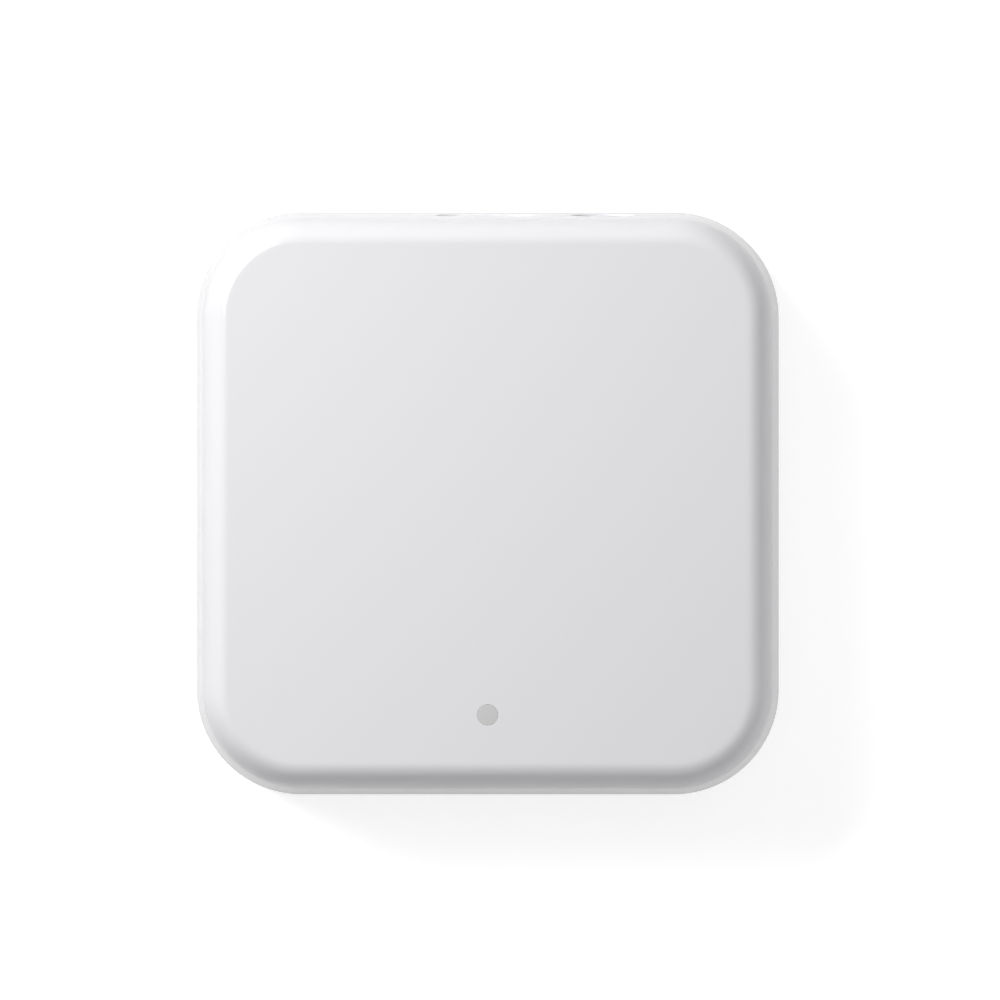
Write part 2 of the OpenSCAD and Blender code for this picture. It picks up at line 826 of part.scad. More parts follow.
module power_inductor() {
    end = 0.3;
    color("dimgray") translate([inductor_at[0], inductor_at[1], board_top]) difference() {
        translate([0, 0, inductor_size[2] / 2])
            cube([inductor_size[0] - 2 * end, inductor_size[1], inductor_size[2]], center = true);
        translate([0, 0, inductor_size[2] - 0.3]) difference() {
            cylinder(d = inductor_size[1] - 1, h = past);
            translate([0, 0, -past]) cylinder(d = inductor_size[1] - 1.8, h = 3 * past);
        }
    }
}

module inductor_terminals() {
    end = 0.3;
    color("silver") translate([inductor_at[0], inductor_at[1], board_top])
        for (side = [-1, 1])
            translate([side * (inductor_size[0] - end) / 2, 0, inductor_size[2] * 0.3])
                cube([end, inductor_size[1] * 0.5, inductor_size[2] * 0.6], center = true);
}

// Aluminium cans with the crimp groove above the base and the scored top.
module bulk_capacitor_cans() {
    bottom = board_top + can_base[2];
    tall = can_tall - can_base[2];
    color("silver") for (place = can_at)
        translate([place[0], place[1], bottom]) difference() {
            rotate_extrude() difference() {
                square([can_r, tall]);
                translate([can_r + 0.25, 1.1]) circle(0.55);
            }
            for (turn = [0, 90])
                rotate(turn) translate([-can_r * 0.7, -0.1, tall - 0.15])
                    cube([can_r * 1.4, 0.2, past]);
        }
}

module bulk_capacitor_bases() {
    cut = 1.2;
    color("black") for (place = can_at)
        translate([place[0], place[1], board_top]) linear_extrude(can_base[2])
            polygon([[-can_base[0] / 2, -can_base[1] / 2], [can_base[0] / 2 - cut, -can_base[1] / 2],
                [can_base[0] / 2, cut - can_base[1] / 2], [can_base[0] / 2, can_base[1] / 2 - cut],
                [can_base[0] / 2 - cut, can_base[1] / 2], [-can_base[0] / 2, can_base[1] / 2]]);
}

module surge_suppressor() {
    color("black") translate([suppressor_at[0], suppressor_at[1], board_top + 0.1])
        translate([-suppressor_size[0] / 2, -suppressor_size[1] / 2, 0]) cube(suppressor_size);
}

module suppressor_leads() {
    color("silver") translate([suppressor_at[0], suppressor_at[1], board_top])
        for (side = [0, 180], i = [-1:1])
            rotate(side) translate([0.95 * i, suppressor_size[1] / 2, 0]) rotate(90)
                gull_lead(0.4, 0.6, 0.6, 0.15);
}

module processor() {
    color("black") translate([processor_at[0], processor_at[1], board_top + processor_size[2] / 2])
        difference() {
            cube(processor_size, center = true);
            translate([1 - processor_size[0] / 2, processor_size[1] / 2 - 1,
                processor_size[2] / 2 - 0.05])
                cylinder(r = 0.4, h = past);
        }
}

module memory_chip() {
    color("black") translate([memory_at[0], memory_at[1], board_top + 0.1 + memory_size[2] / 2])
        difference() {
            cube(memory_size, center = true);
            translate([0.8 - memory_size[0] / 2, memory_size[1] / 2 - 0.8,
                memory_size[2] / 2 - 0.05])
                cylinder(r = 0.35, h = past);
        }
}

module memory_leads() {
    pitch = 1.27;
    color("silver") translate([memory_at[0], memory_at[1], board_top])
        for (side = [0, 180], i = [-1.5:1.5])
            rotate(side) translate([pitch * i, memory_size[1] / 2, 0]) rotate(90)
                gull_lead(0.4, 0.95, 1.3, 0.2);
}

// Metal-lidded clock crystal on its ceramic base.
module clock_crystal() {
    lid = 0.3;
    color("gainsboro") translate([crystal_at[0], crystal_at[1], board_top]) {
        translate([0, 0, (crystal_size[2] - lid) / 2])
            cube([crystal_size[0], crystal_size[1], crystal_size[2] - lid], center = true);
        translate([0, 0, crystal_size[2] - lid]) linear_extrude(lid)
            rounded_rectangle(crystal_size[0] - 0.5, crystal_size[1] - 0.5, 0.3);
    }
}

// Body of a chip part between its two soldered ends.
module chip_body(height) {
    translate([chip_end - chip_l / 2, -chip_w / 2, 0]) cube([chip_l - 2 * chip_end, chip_w, height]);
}

module chip_ends(height) {
    for (side = [-1, 1])
        translate([side * (chip_l - chip_end) / 2, 0, height / 2])
            cube([chip_end, chip_w, height], center = true);
}

module at_chips(places) {
    for (place = places)
        translate([place[0], place[1], board_top]) rotate(place[2]) children();
}

module chip_capacitors() {
    color("tan") at_chips(capacitor_places) chip_body(capacitor_h);
}

module chip_resistors() {
    color("black") at_chips(resistor_places) chip_body(resistor_h);
}

module chip_terminals() {
    color("silver") {
        at_chips(capacitor_places) chip_ends(capacitor_h);
        at_chips(resistor_places) chip_ends(resistor_h);
    }
}

top_cover();
bottom_cover();
rating_label();
foot(-1, -1);  // front_left_foot
foot(1, -1);  // front_right_foot
foot(-1, 1);  // rear_left_foot
foot(1, 1);  // rear_right_foot
case_screws();
light_pipe();
light_shroud();
status_led_body();
status_led_lens();
main_board();
board_screws();
wlan_module_board();
wlan_module_chip();
wlan_module_shield();
wlan_antenna_trace();
mesh_module_board();
mesh_module_chip();
mesh_module_shield();
mesh_antenna_trace();
inlet_shell();
inlet_insulator();
inlet_contacts();
reset_button();
reset_switch_housing();
reset_switch_plate();
reset_switch_terminals();
reset_switch_dome();
reset_switch_stem();
voltage_regulator();
regulator_leads();
power_inductor();
inductor_terminals();
bulk_capacitor_cans();
bulk_capacitor_bases();
surge_suppressor();
suppressor_leads();
processor();
memory_chip();
memory_leads();
clock_crystal();
chip_capacitors();
chip_resistors();
chip_terminals();
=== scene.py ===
"""Looks of a square smart home hub: white covers, status light, rear inlet and reset button.

Lengths are in metres. +Z is up through the face, -Y towards the status light and +Y out of the
rear wall, with the origin on the surface that the four feet stand on.
"""

import json
import logging
import math
from collections.abc import Callable
from dataclasses import dataclass, field
from enum import Enum

import bmesh
import bpy
import numpy as np
from bpy.types import ID, Material, Node, NodeSocket, NodeTree, Object
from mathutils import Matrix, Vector
from mathutils.geometry import delaunay_2d_cdt


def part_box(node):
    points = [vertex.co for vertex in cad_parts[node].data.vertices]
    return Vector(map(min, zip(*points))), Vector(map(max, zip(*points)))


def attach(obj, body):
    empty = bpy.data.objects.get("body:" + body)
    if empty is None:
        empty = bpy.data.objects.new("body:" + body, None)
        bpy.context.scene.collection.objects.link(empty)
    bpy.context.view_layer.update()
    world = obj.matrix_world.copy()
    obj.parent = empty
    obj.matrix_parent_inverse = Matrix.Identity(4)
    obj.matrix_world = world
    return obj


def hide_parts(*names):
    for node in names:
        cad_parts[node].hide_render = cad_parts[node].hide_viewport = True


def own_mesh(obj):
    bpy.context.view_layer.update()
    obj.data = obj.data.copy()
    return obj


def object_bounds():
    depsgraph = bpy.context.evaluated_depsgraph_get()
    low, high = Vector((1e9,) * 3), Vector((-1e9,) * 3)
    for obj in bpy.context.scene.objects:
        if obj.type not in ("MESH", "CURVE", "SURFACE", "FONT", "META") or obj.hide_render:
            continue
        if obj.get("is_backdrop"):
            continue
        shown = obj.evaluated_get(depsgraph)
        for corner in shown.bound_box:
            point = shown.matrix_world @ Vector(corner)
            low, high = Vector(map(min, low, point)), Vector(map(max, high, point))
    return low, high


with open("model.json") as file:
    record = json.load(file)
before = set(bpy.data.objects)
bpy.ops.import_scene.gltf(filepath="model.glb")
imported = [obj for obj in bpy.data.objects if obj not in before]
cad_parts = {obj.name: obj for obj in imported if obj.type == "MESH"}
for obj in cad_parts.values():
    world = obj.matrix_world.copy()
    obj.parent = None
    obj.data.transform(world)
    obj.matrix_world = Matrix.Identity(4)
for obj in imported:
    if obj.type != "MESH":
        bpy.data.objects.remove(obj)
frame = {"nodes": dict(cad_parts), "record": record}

log = logging.getLogger("hub")

Pair = tuple[float, float]
Triple = tuple[float, float, float]

MM = 0.001
SUNK = 0.2 * MM  # how far a boss or rib runs into the wall that carries it
WELD = 2e-7  # points nearer than this become one
NIL = 1e-8  # an edge shorter than this is dropped
CDT_NEAR = 1e-9  # the triangulation's own tolerance
WHITE = (1.0, 1.0, 1.0, 1.0)
QUARTERS = ((-1, -1), (-1, 1), (1, -1), (1, 1))  # signs of X and Y


class Body(Enum):
    """The bodies that pieces ride on."""

    HUB = "hub"
    BUTTON = "reset_button"


class Plane(Enum):
    """The plane that a loop is drawn in."""

    LEVEL = "level"
    UPRIGHT = "upright"


# ---- Shapes ----


@dataclass
class Loop:
    """A closed path in a plane, whose point at a reach is base + reach * away.

    Attributes:
        base: (n, 2) points that the reach is measured from.
        away: (n, 2) unit directions out of the path.
    """

    base: np.ndarray
    away: np.ndarray

    def at(self, reach: float) -> np.ndarray:
        """Points of the path moved out by a reach, as an (n, 2) array."""
        return self.base + reach * self.away

    def moved(self, x: float, y: float, angle: float = 0.0) -> "Loop":
        """The loop turned about the origin by an angle in radians, then moved."""
        c, s = math.cos(angle), math.sin(angle)
        turn = np.array(((c, s), (-s, c)))
        return Loop(self.base @ turn + (x, y), self.away @ turn)


def rounded_loop(half_w: float, half_d: float, turn: int, stops: tuple[float, ...] = ()) -> Loop:
    """Rounded rectangle whose corner arcs turn about (+-half_w, +-half_d).

    Each corner is a quarter circle about its own centre, so a point is centre + reach times
    (cos a, sin a), and straight sides join the last angle of one corner to the next's first.

    Args:
        half_w: X of the corner centres.
        half_d: Y of the corner centres.
        turn: steps in each quarter turn.
        stops: extra X places along the side that faces +Y.

    Returns:
        The loop, counter-clockwise.
    """
    angle = np.linspace(0.0, math.pi / 2, turn + 1)
    base, away = [], []
    for quarter, (sx, sy) in enumerate(((1, 1), (-1, 1), (-1, -1), (1, -1))):
        a = angle + quarter * math.pi / 2
        base.append(np.tile((sx * half_w, sy * half_d), (turn + 1, 1)))
        away.append(np.column_stack((np.cos(a), np.sin(a))))
        if quarter == 0 and stops:
            places = np.array(sorted(stops, reverse=True))
            base.append(np.column_stack((places, np.full(len(places), half_d))))
            away.append(np.tile((0.0, 1.0), (len(places), 1)))
    return Loop(np.vstack(base), np.vstack(away))


def slot_loop(half_straight: float, turn: int) -> Loop:
    """Round-ended slot: two half circles about (+-half_straight, 0), joined by straight sides."""
    angle = np.linspace(-math.pi / 2, math.pi / 2, turn + 1)
    right = np.column_stack((np.cos(angle), np.sin(angle)))
    base = np.repeat(((half_straight, 0.0), (-half_straight, 0.0)), turn + 1, axis=0)
    return Loop(base, np.vstack((right, -right)))


def circle_loop(turn: int = 96) -> Loop:
    """Full circle about the origin, counter-clockwise."""
    angle = np.linspace(0.0, 2 * math.pi, turn, endpoint=False)
    return Loop(np.zeros((turn, 2)), np.column_stack((np.cos(angle), np.sin(angle))))


def arc(centre: Pair, radius: float, start: float, end: float, steps: int) -> np.ndarray:
    """Points centre + radius * (cos a, sin a), with a from start to end in degrees."""
    a = np.radians(np.linspace(start, end, steps + 1))
    return np.array(centre) + radius * np.column_stack((np.cos(a), np.sin(a)))


def eased(reach: float, radius: float) -> np.ndarray:
    """Reach and depth of a rounded brim: a flat ring, then a quarter circle into the hole."""
    return np.vstack(([(reach + 2 * radius, 0.0)], arc((reach + radius, radius), radius, 270, 180, 5)))


def rolled_corner(start: np.ndarray, corner: np.ndarray, end: np.ndarray, power: float,
                  steps: int) -> np.ndarray:
    """Superellipse quarter between two straight lines that meet at a corner.

    With O = start + end - corner, a point is O + u (start - O) + w (end - O), where
    u = cos(t)^(2 / power) and w = sin(t)^(2 / power). A power above 2 eases off where it meets
    the lines, so reflections run on without a step.

    Args:
        start: where the curve leaves the first line.
        corner: where the two lines meet.
        end: where the curve joins the second line.
        power: 2 for an ellipse, more for a squarer curve.
        steps: steps along the curve.

    Returns:
        (steps + 1, 2) points.
    """
    t = np.linspace(0.0, math.pi / 2, steps + 1)[:, None]
    centre = start + end - corner
    u = np.clip(np.cos(t), 0.0, 1.0) ** (2 / power)
    w = np.sin(t) ** (2 / power)
    return centre + u * (start - centre) + w * (end - centre)


def carried(profile: np.ndarray, loop: Loop, plane: Plane = Plane.LEVEL) -> np.ndarray:
    """Profile carried round a loop: row k, column i is at base_i + reach_k * away_i.

    Args:
        profile: (rows, 2) reach and height, where height is along +Z for a level loop and
            along +Y for an upright one.
        loop: the path, in X and Y or in X and Z.
        plane: the loop's plane.

    Returns:
        (rows, columns, 3) points.
    """
    flat = loop.base[None] + profile[:, None, :1] * loop.away[None]
    tall = np.broadcast_to(profile[:, None, 1:], (*flat.shape[:2], 1))
    points = np.concatenate((flat, tall), axis=2)
    return points if plane is Plane.LEVEL else points[..., [0, 2, 1]]


def inside(points: np.ndarray, loop: np.ndarray) -> np.ndarray:
    """Even-odd rule: whether a ray from each point towards +x crosses the loop an odd number of times.

    Args:
        points: (n, 2) points to test.
        loop: (m, 2) closed outline.

    Returns:
        (n,) booleans.
    """
    a, b = loop, np.roll(loop, -1, axis=0)
    y = points[:, 1, None]
    crosses = (a[:, 1] > y) != (b[:, 1] > y)
    rise = np.where(a[:, 1] == b[:, 1], 1.0, b[:, 1] - a[:, 1])
    x = a[:, 0] + (y - a[:, 1]) * (b[:, 0] - a[:, 0]) / rise
    return (crosses & (points[:, 0, None] < x)).sum(axis=1) % 2 == 1


def placed(name: str, data: ID) -> Object:
    """Puts an object that shows this data in the scene."""
    thing = bpy.data.objects.new(name, data)
    bpy.context.scene.collection.objects.link(thing)
    return thing


def foot_place() -> Vector:
    """Centre of the rear right foot, which the other three mirror."""
    low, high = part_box("rear_right_foot")
    return (low + high) / 2


@dataclass
class Shell:
    """Collects grids and flat patches, then welds them into closed surfaces."""

    points: list[np.ndarray] = field(default_factory=list)
    faces: list[list[int]] = field(default_factory=list)
    count: int = 0

    def add(self, points: np.ndarray, faces: np.ndarray) -> None:
        """Adds points (n, 3) and faces (m, 3 or 4) that count from zero."""
        self.points.append(points)
        self.faces.extend((faces + self.count).tolist())
        self.count += len(points)

    def grid(self, points: np.ndarray, ends_meet: bool = False, skip: tuple[tuple[int, int], ...] = ()) -> None:
        """Adds quads between the rows of a grid whose last column joins its first.

        Args:
            points: (rows, columns, 3) array.
            ends_meet: the last row joins the first, as on a ring.
            skip: (row, column) cells left open for a patch.
        """
        rows, columns = points.shape[:2]
        index = np.arange(rows * columns).reshape(rows, columns)
        index = np.column_stack((index, index[:, 0]))
        if ends_meet:
            index = np.vstack((index, index[:1]))
        quads = np.stack((index[:-1, :-1], index[:-1, 1:], index[1:, 1:], index[1:, :-1]), axis=-1)
        keep = np.ones(quads.shape[:2], bool)
        for row, column in skip:
            keep[row, column] = False
        self.add(points.reshape(-1, 3), quads[keep])

    def patch(self, outline: np.ndarray, holes: list[np.ndarray], plane: Plane,
              level: float | Callable[[np.ndarray], np.ndarray]) -> None:
        """Fills a flat outline, less its holes, with triangles.

        Args:
            outline: (n, 2) outer loop.
            holes: inner loops.
            plane: the plane that the loops are drawn in.
            level: the third coordinate, as a number or a function of (n, 2) points.
        """
        loops = [outline, *holes]
        starts = np.cumsum([0] + [len(loop) for loop in loops])
        edges = np.vstack([
            np.column_stack((np.arange(s, e), np.roll(np.arange(s, e), -1)))
            for s, e in zip(starts[:-1], starts[1:])
        ])
        made = delaunay_2d_cdt(np.vstack(loops).tolist(), edges.tolist(), [], 0, CDT_NEAR)
        points, triangles = np.array(made[0]), np.array(made[2])
        middle = points[triangles].mean(axis=1)
        keep = inside(middle, outline)
        for hole in holes:
            keep &= ~inside(middle, hole)
        third = level(points) if callable(level) else np.full(len(points), level)
        order = (points[:, 0], points[:, 1], third) if plane is Plane.LEVEL else (points[:, 0], third, points[:, 1])
        self.add(np.column_stack(order), triangles[keep])

    def bar(self, length: float, width: float, centre: Pair, angle: float, low: float, high: float,
            ease: float) -> None:
        """Adds an upright rounded bar: a rounded rectangle carried from low to high.

        Args:
            length: size along its own first axis.
            width: size along its second axis.
            centre: X and Y of its middle.
            angle: turn of its first axis from +X, in radians.
            low: height of its underside.
            high: height of its top.
            ease: radius of every edge.
        """
        loop = rounded_loop(length / 2 - 2 * ease, width / 2 - 2 * ease, 4).moved(*centre, angle)
        profile = np.vstack((arc((ease, low + ease), ease, -90, 0, 3), arc((ease, high - ease), ease, 0, 90, 3)))
        points = carried(profile, loop)
        self.grid(points)
        self.patch(points[0, :, :2], [], Plane.LEVEL, low)
        self.patch(points[-1, :, :2], [], Plane.LEVEL, high)

    def piece(self, name: str, sharp: float = 35.0) -> Object:
        """Welds the parts, turns the faces outwards and makes the object.

        Args:
            name: the piece's name.
            sharp: edges that bend by more than this many degrees stay crisp.

        Returns:
            The new object, at the origin.
        """
        mesh = bpy.data.meshes.new(name)
        mesh.from_pydata(np.vstack(self.points).tolist(), [], self.faces)
        work = bmesh.new()
        work.from_mesh(mesh)
        bmesh.ops.remove_doubles(work, verts=work.verts, dist=WELD)
        bmesh.ops.dissolve_degenerate(work, edges=work.edges, dist=NIL)
        bmesh.ops.recalc_face_normals(work, faces=work.faces)
        loose = sum(1 for edge in work.edges if not edge.is_manifold)
        work.to_mesh(mesh)
        work.free()
        mesh.shade_smooth()
        mesh.set_sharp_from_angle(angle=math.radians(sharp))
        log.info("%s: %d faces, %d open edges", name, len(mesh.polygons), loose)
        return placed(name, mesh)


def turned(name: str, section: np.ndarray, loop: Loop, plane: Plane = Plane.LEVEL) -> Object:
    """A piece that is one section carried round a loop."""
    shell = Shell()
    shell.grid(carried(section, loop, plane))
    return shell.piece(name)


# ---- Finishes ----


def linear(code: str) -> tuple[float, float, float, float]:
    """Linear colour of an sRGB hex code such as "#E9EAED"."""
    share = [int(code[i:i + 2], 16) / 255 for i in (1, 3, 5)]
    return (*(c / 12.92 if c <= 0.04045 else ((c + 0.055) / 1.055) ** 2.4 for c in share), 1.0)


def add(tree: NodeTree, kind: str, settings: dict | None = None, links: dict | None = None) -> Node:
    """Adds a shader node.

    Args:
        tree: the node tree.
        kind: the node's type, less its "ShaderNode" prefix.
        settings: values for sockets, by name or number, and for the node's own attributes.
        links: outputs that feed sockets, by the socket's name or number.

    Returns:
        The new node.
    """
    node = tree.nodes.new("ShaderNode" + kind)
    given = settings or {}
    own = [key for key in given if isinstance(key, str) and key not in node.inputs]
    for key in own:
        setattr(node, key, given[key])
    for key in given:
        if key not in own:
            node.inputs[key].default_value = given[key]
    for key, output in (links or {}).items():
        tree.links.new(output, node.inputs[key])
    return node


def emptied(owner: ID) -> NodeTree:
    """The node tree of a material or a world, cleared."""
    owner.use_nodes = True
    owner.node_tree.nodes.clear()
    return owner.node_tree


@dataclass(frozen=True)
class Finish:
    """A surface of one real material.

    Attributes:
        name: the material and how it was made.
        colour: sRGB hex colour.
        roughness: mean roughness.
        metallic: 1 for bare metal.
        ior: refractive index of a plastic, resin or ceramic.
        cloud: how far the roughness drifts.
        cloud_size: width in millimetres of the areas that it drifts over.
        grain: width in millimetres of the fine texture.
        relief: depth in millimetres of the fine texture.
    """

    name: str
    colour: str
    roughness: float
    metallic: float = 0.0
    ior: float = 1.5
    cloud: float = 0.02
    cloud_size: float = 9.0
    grain: float = 0.2
    relief: float = 0.002

    def material(self) -> Material:
        """The material, made once and then reused."""
        known = bpy.data.materials.get(self.name)
        if known:
            return known
        material = bpy.data.materials.new(self.name)
        tree = emptied(material)
        shader = add(tree, "BsdfPrincipled", {"Base Color": linear(self.colour), "Metallic": self.metallic})
        if not self.metallic:
            shader.inputs["IOR"].default_value = self.ior
        add(tree, "OutputMaterial", links={"Surface": shader.outputs[0]})
        place = add(tree, "TexCoord").outputs["Object"]
        drift = add(tree, "TexNoise", {"Scale": 1 / (self.cloud_size * MM), "Detail": 3.0}, {"Vector": place})
        spread = add(tree, "MapRange", {
            "To Min": self.roughness - self.cloud, "To Max": self.roughness + self.cloud},
            {"Value": drift.outputs[0]})
        dots = add(tree, "TexNoise", {"Scale": 1 / (self.grain * MM), "Detail": 2.0}, {"Vector": place})
        bump = add(tree, "Bump", {"Distance": self.relief * MM}, {"Height": dots.outputs[0]})
        tree.links.new(spread.outputs[0], shader.inputs["Roughness"])
        tree.links.new(bump.outputs[0], shader.inputs["Normal"])
        self.dress(tree, shader, place, bump)
        return material

    def dress(self, tree: NodeTree, shader: Node, place: NodeSocket, bump: Node) -> None:
        """Adds what this kind of surface has beyond its grain; a plain finish adds nothing.

        Args:
            tree: the material's node tree.
            shader: its principled shader.
            place: object coordinates in metres.
            bump: the grain's relief, which further relief builds on.
        """


@dataclass(frozen=True)
class Lined(Finish):
    """A rolled, drawn or turned metal, whose fine lines run along one axis.

    Attributes:
        stretch: how much finer the lines are along X, Y and Z.
        line: length in millimetres of a line.
        line_depth: depth in millimetres of a line.
        line_drift: how far the roughness changes from line to line.
    """

    metallic: float = 1.0
    stretch: Triple = (1.0, 24.0, 24.0)
    line: float = 3.0
    line_depth: float = 0.003
    line_drift: float = 0.08

    def dress(self, tree: NodeTree, shader: Node, place: NodeSocket, bump: Node) -> None:
        """Stretches a noise into lines, and adds it to the relief and the roughness."""
        drawn = add(tree, "Mapping", {"Scale": self.stretch}, {"Vector": place})
        lines = add(tree, "TexNoise", {"Scale": 1 / (self.line * MM), "Detail": 4.0}, {"Vector": drawn.outputs[0]})
        fine = add(tree, "Bump", {"Distance": self.line_depth * MM}, {
            "Height": lines.outputs[0], "Normal": bump.outputs[0]})
        spread = add(tree, "MapRange", {
            "To Min": self.roughness - self.line_drift, "To Max": self.roughness + self.line_drift},
            {"Value": lines.outputs[0]})
        tree.links.new(fine.outputs[0], shader.inputs["Normal"])
        tree.links.new(spread.outputs[0], shader.inputs["Roughness"])


@dataclass(frozen=True)
class Laminate(Finish):
    """Solder mask over copper tracks on glass cloth.

    Attributes:
        bare: sRGB hex colour of the mask where there is no copper under it.
        pitch: distance between tracks in millimetres.
        area: width in millimetres of the areas whose tracks run one way.
        copper: thickness in millimetres of the copper.
        gap_share: share of the pitch that is bare.
    """

    bare: str = "#0B2A17"
    pitch: float = 0.9
    area: float = 8.0
    copper: float = 0.035
    gap_share: float = 0.3

    def dress(self, tree: NodeTree, shader: Node, place: NodeSocket, bump: Node) -> None:
        """Lays rows of tracks along X or Y, by area, which stand proud under the mask."""
        across = add(tree, "Mapping", {"Rotation": (0.0, 0.0, math.pi / 2)}, {"Vector": place})
        areas = add(tree, "TexVoronoi", {"Scale": 1 / (self.area * MM), "distance": "CHEBYCHEV"}, {"Vector": place})
        pick = add(tree, "Math", {"operation": "GREATER_THAN", 1: 0.5}, {0: areas.outputs["Color"]})
        way = add(tree, "Mix", {"data_type": "VECTOR"}, {
            "Factor": pick.outputs[0], 4: place, 5: across.outputs[0]})
        rows = add(tree, "TexBrick", {
            "Color1": linear(self.colour), "Color2": linear(self.colour), "Mortar": linear(self.bare),
            "Scale": 1 / MM, "Mortar Size": self.pitch * self.gap_share, "Mortar Smooth": 0.2,
            "Brick Width": 9 * self.pitch, "Row Height": self.pitch}, {"Vector": way.outputs[1]})
        proud = add(tree, "Bump", {"Distance": -self.copper * MM}, {
            "Height": rows.outputs["Fac"], "Normal": bump.outputs[0]})
        tree.links.new(rows.outputs["Color"], shader.inputs["Base Color"])
        tree.links.new(proud.outputs[0], shader.inputs["Normal"])


FINISHES = {
    # Deep even gloss of a polished mould, with the faint waviness that a thick wall cools with.
    "cover_white": Finish("polished_mould_abs", "#E9E8EB", 0.15, ior=1.53, grain=6.0, relief=0.001),
    # Soft satin that scatters highlights, from a spark-eroded mould.
    "base_white": Finish("spark_textured_abs", "#E2E3E6", 0.48, cloud=0.03, grain=0.28, relief=0.014),
    # Even cool silver with a low sheen, so the blank plate reads apart from the moulding.
    "label_film": Finish("matt_polyester_film", "#CACBCF", 0.34, grain=0.1, relief=0.002),
    # Near-black and dull, with a dusty bloom in its grain.
    "foot_rubber": Finish("moulded_silicone_rubber", "#39393B", 0.72, ior=1.42, cloud=0.08, grain=0.25, relief=0.02),
    # Blue-white plating, brighter on the rims than in the drive.
    "screw_steel": Lined("zinc_plated_cold_headed_steel", "#C9CDD2", 0.32, stretch=(12.0, 12.0, 1.0)),
    # Milky grey with no highlight while the light is off.
    "light_guide": Finish("diffusing_polycarbonate", "#CCCCCC", 0.5, ior=1.58, grain=0.12, relief=0.004),
    # Deep matt black that swallows stray light.
    "shroud_black": Finish("moulded_black_polycarbonate", "#1D1D1F", 0.55, cloud=0.05, grain=0.2, relief=0.008),
    # Warm ivory with a slight glaze.
    "led_white": Finish("moulded_white_polyamide", "#EBE7DB", 0.36, grain=0.15, relief=0.003),
    # Glassy yellow drop that shows the phosphor in it.
    "led_resin": Finish("phosphor_filled_silicone", "#E6C65A", 0.18, ior=1.41, grain=0.08, relief=0.002),
    # Green mask with lighter runs where copper lies under it.
    "board_laminate": Laminate("mask_over_glass_epoxy", "#1C6B3C", 0.28, grain=0.5, relief=0.006),
    # Near-black mask, whose tracks only show where they catch the light.
    "module_laminate": Laminate("black_mask_over_glass_epoxy", "#20242C", 0.3, bare="#101318", pitch=0.6),
    # Sooty grey with the fine pitting of a transfer mould.
    "chip_black": Finish("transfer_moulded_epoxy", "#242426", 0.5, cloud=0.05, grain=0.12, relief=0.008),
    # Soft silver with drawing lines along its length.
    "shield_steel": Lined("tinned_drawn_steel", "#D2D2D0", 0.3),
    # Warm satin gold.
    "trace_gold": Lined("gold_plated_copper_foil", "#E0B863", 0.28, stretch=(8.0, 8.0, 1.0)),
    # Bright nickel with lines that follow the draw.
    "inlet_steel": Lined("nickel_plated_drawn_steel", "#CDCBC7", 0.22, stretch=(24.0, 1.0, 24.0)),
    # Dense black with a low sheen.
    "insulator_black": Finish("moulded_glass_filled_lcp", "#1A1A1C", 0.42, grain=0.1, relief=0.004),
    # Rich gold that stands out in the dark mouth.
    "contact_gold": Lined("hard_gold_plated_bronze", "#E6BC5E", 0.2, stretch=(24.0, 1.0, 24.0)),
    # The covers' white, but duller, so the cap reads as a part of its own.
    "button_white": Finish("fine_matt_moulded_abs", "#DDDEE1", 0.38, grain=0.2, relief=0.006),
    # Dull black of a small glass-filled moulding.
    "switch_black": Finish("moulded_glass_filled_nylon", "#202022", 0.6, cloud=0.06, grain=0.12, relief=0.008),
    # Cold mirror-like strip.
    "spring_steel": Lined("rolled_stainless_spring_steel", "#C6C7C8", 0.2),
    # Mid grey, slightly waxy.
    "stem_grey": Finish("moulded_acetal", "#7B7C7F", 0.34, ior=1.48, grain=0.2, relief=0.003),
    # Bright and a little uneven, as solder wets it.
    "lead_tin": Finish("hot_tinned_copper_alloy", "#DADAD6", 0.3, metallic=1.0, cloud=0.1, grain=0.3, relief=0.01),
    # Charcoal with the open grain of a pressed and fired powder.
    "ferrite_grey": Finish("pressed_fired_ferrite", "#5F6062", 0.66, cloud=0.06, grain=0.15, relief=0.015),
    # Pale satin with lines round the can.
    "can_aluminium": Lined("drawn_anodised_aluminium", "#DFE0E2", 0.26, stretch=(1.0, 1.0, 24.0)),
    # Warm tan with a fine fired tooth.
    "ceramic_tan": Finish("fired_barium_titanate_ceramic", "#B59D7E", 0.44, ior=1.7, grain=0.1, relief=0.004),
}


# ---- Covers ----


@dataclass
class Hole:
    """An opening in the rear wall, with a shallow recess round it.

    Attributes:
        loop: the path that both follow.
        through: reach of the opening.
        recess: reach of the recess.
    """

    loop: Loop
    through: float
    recess: float


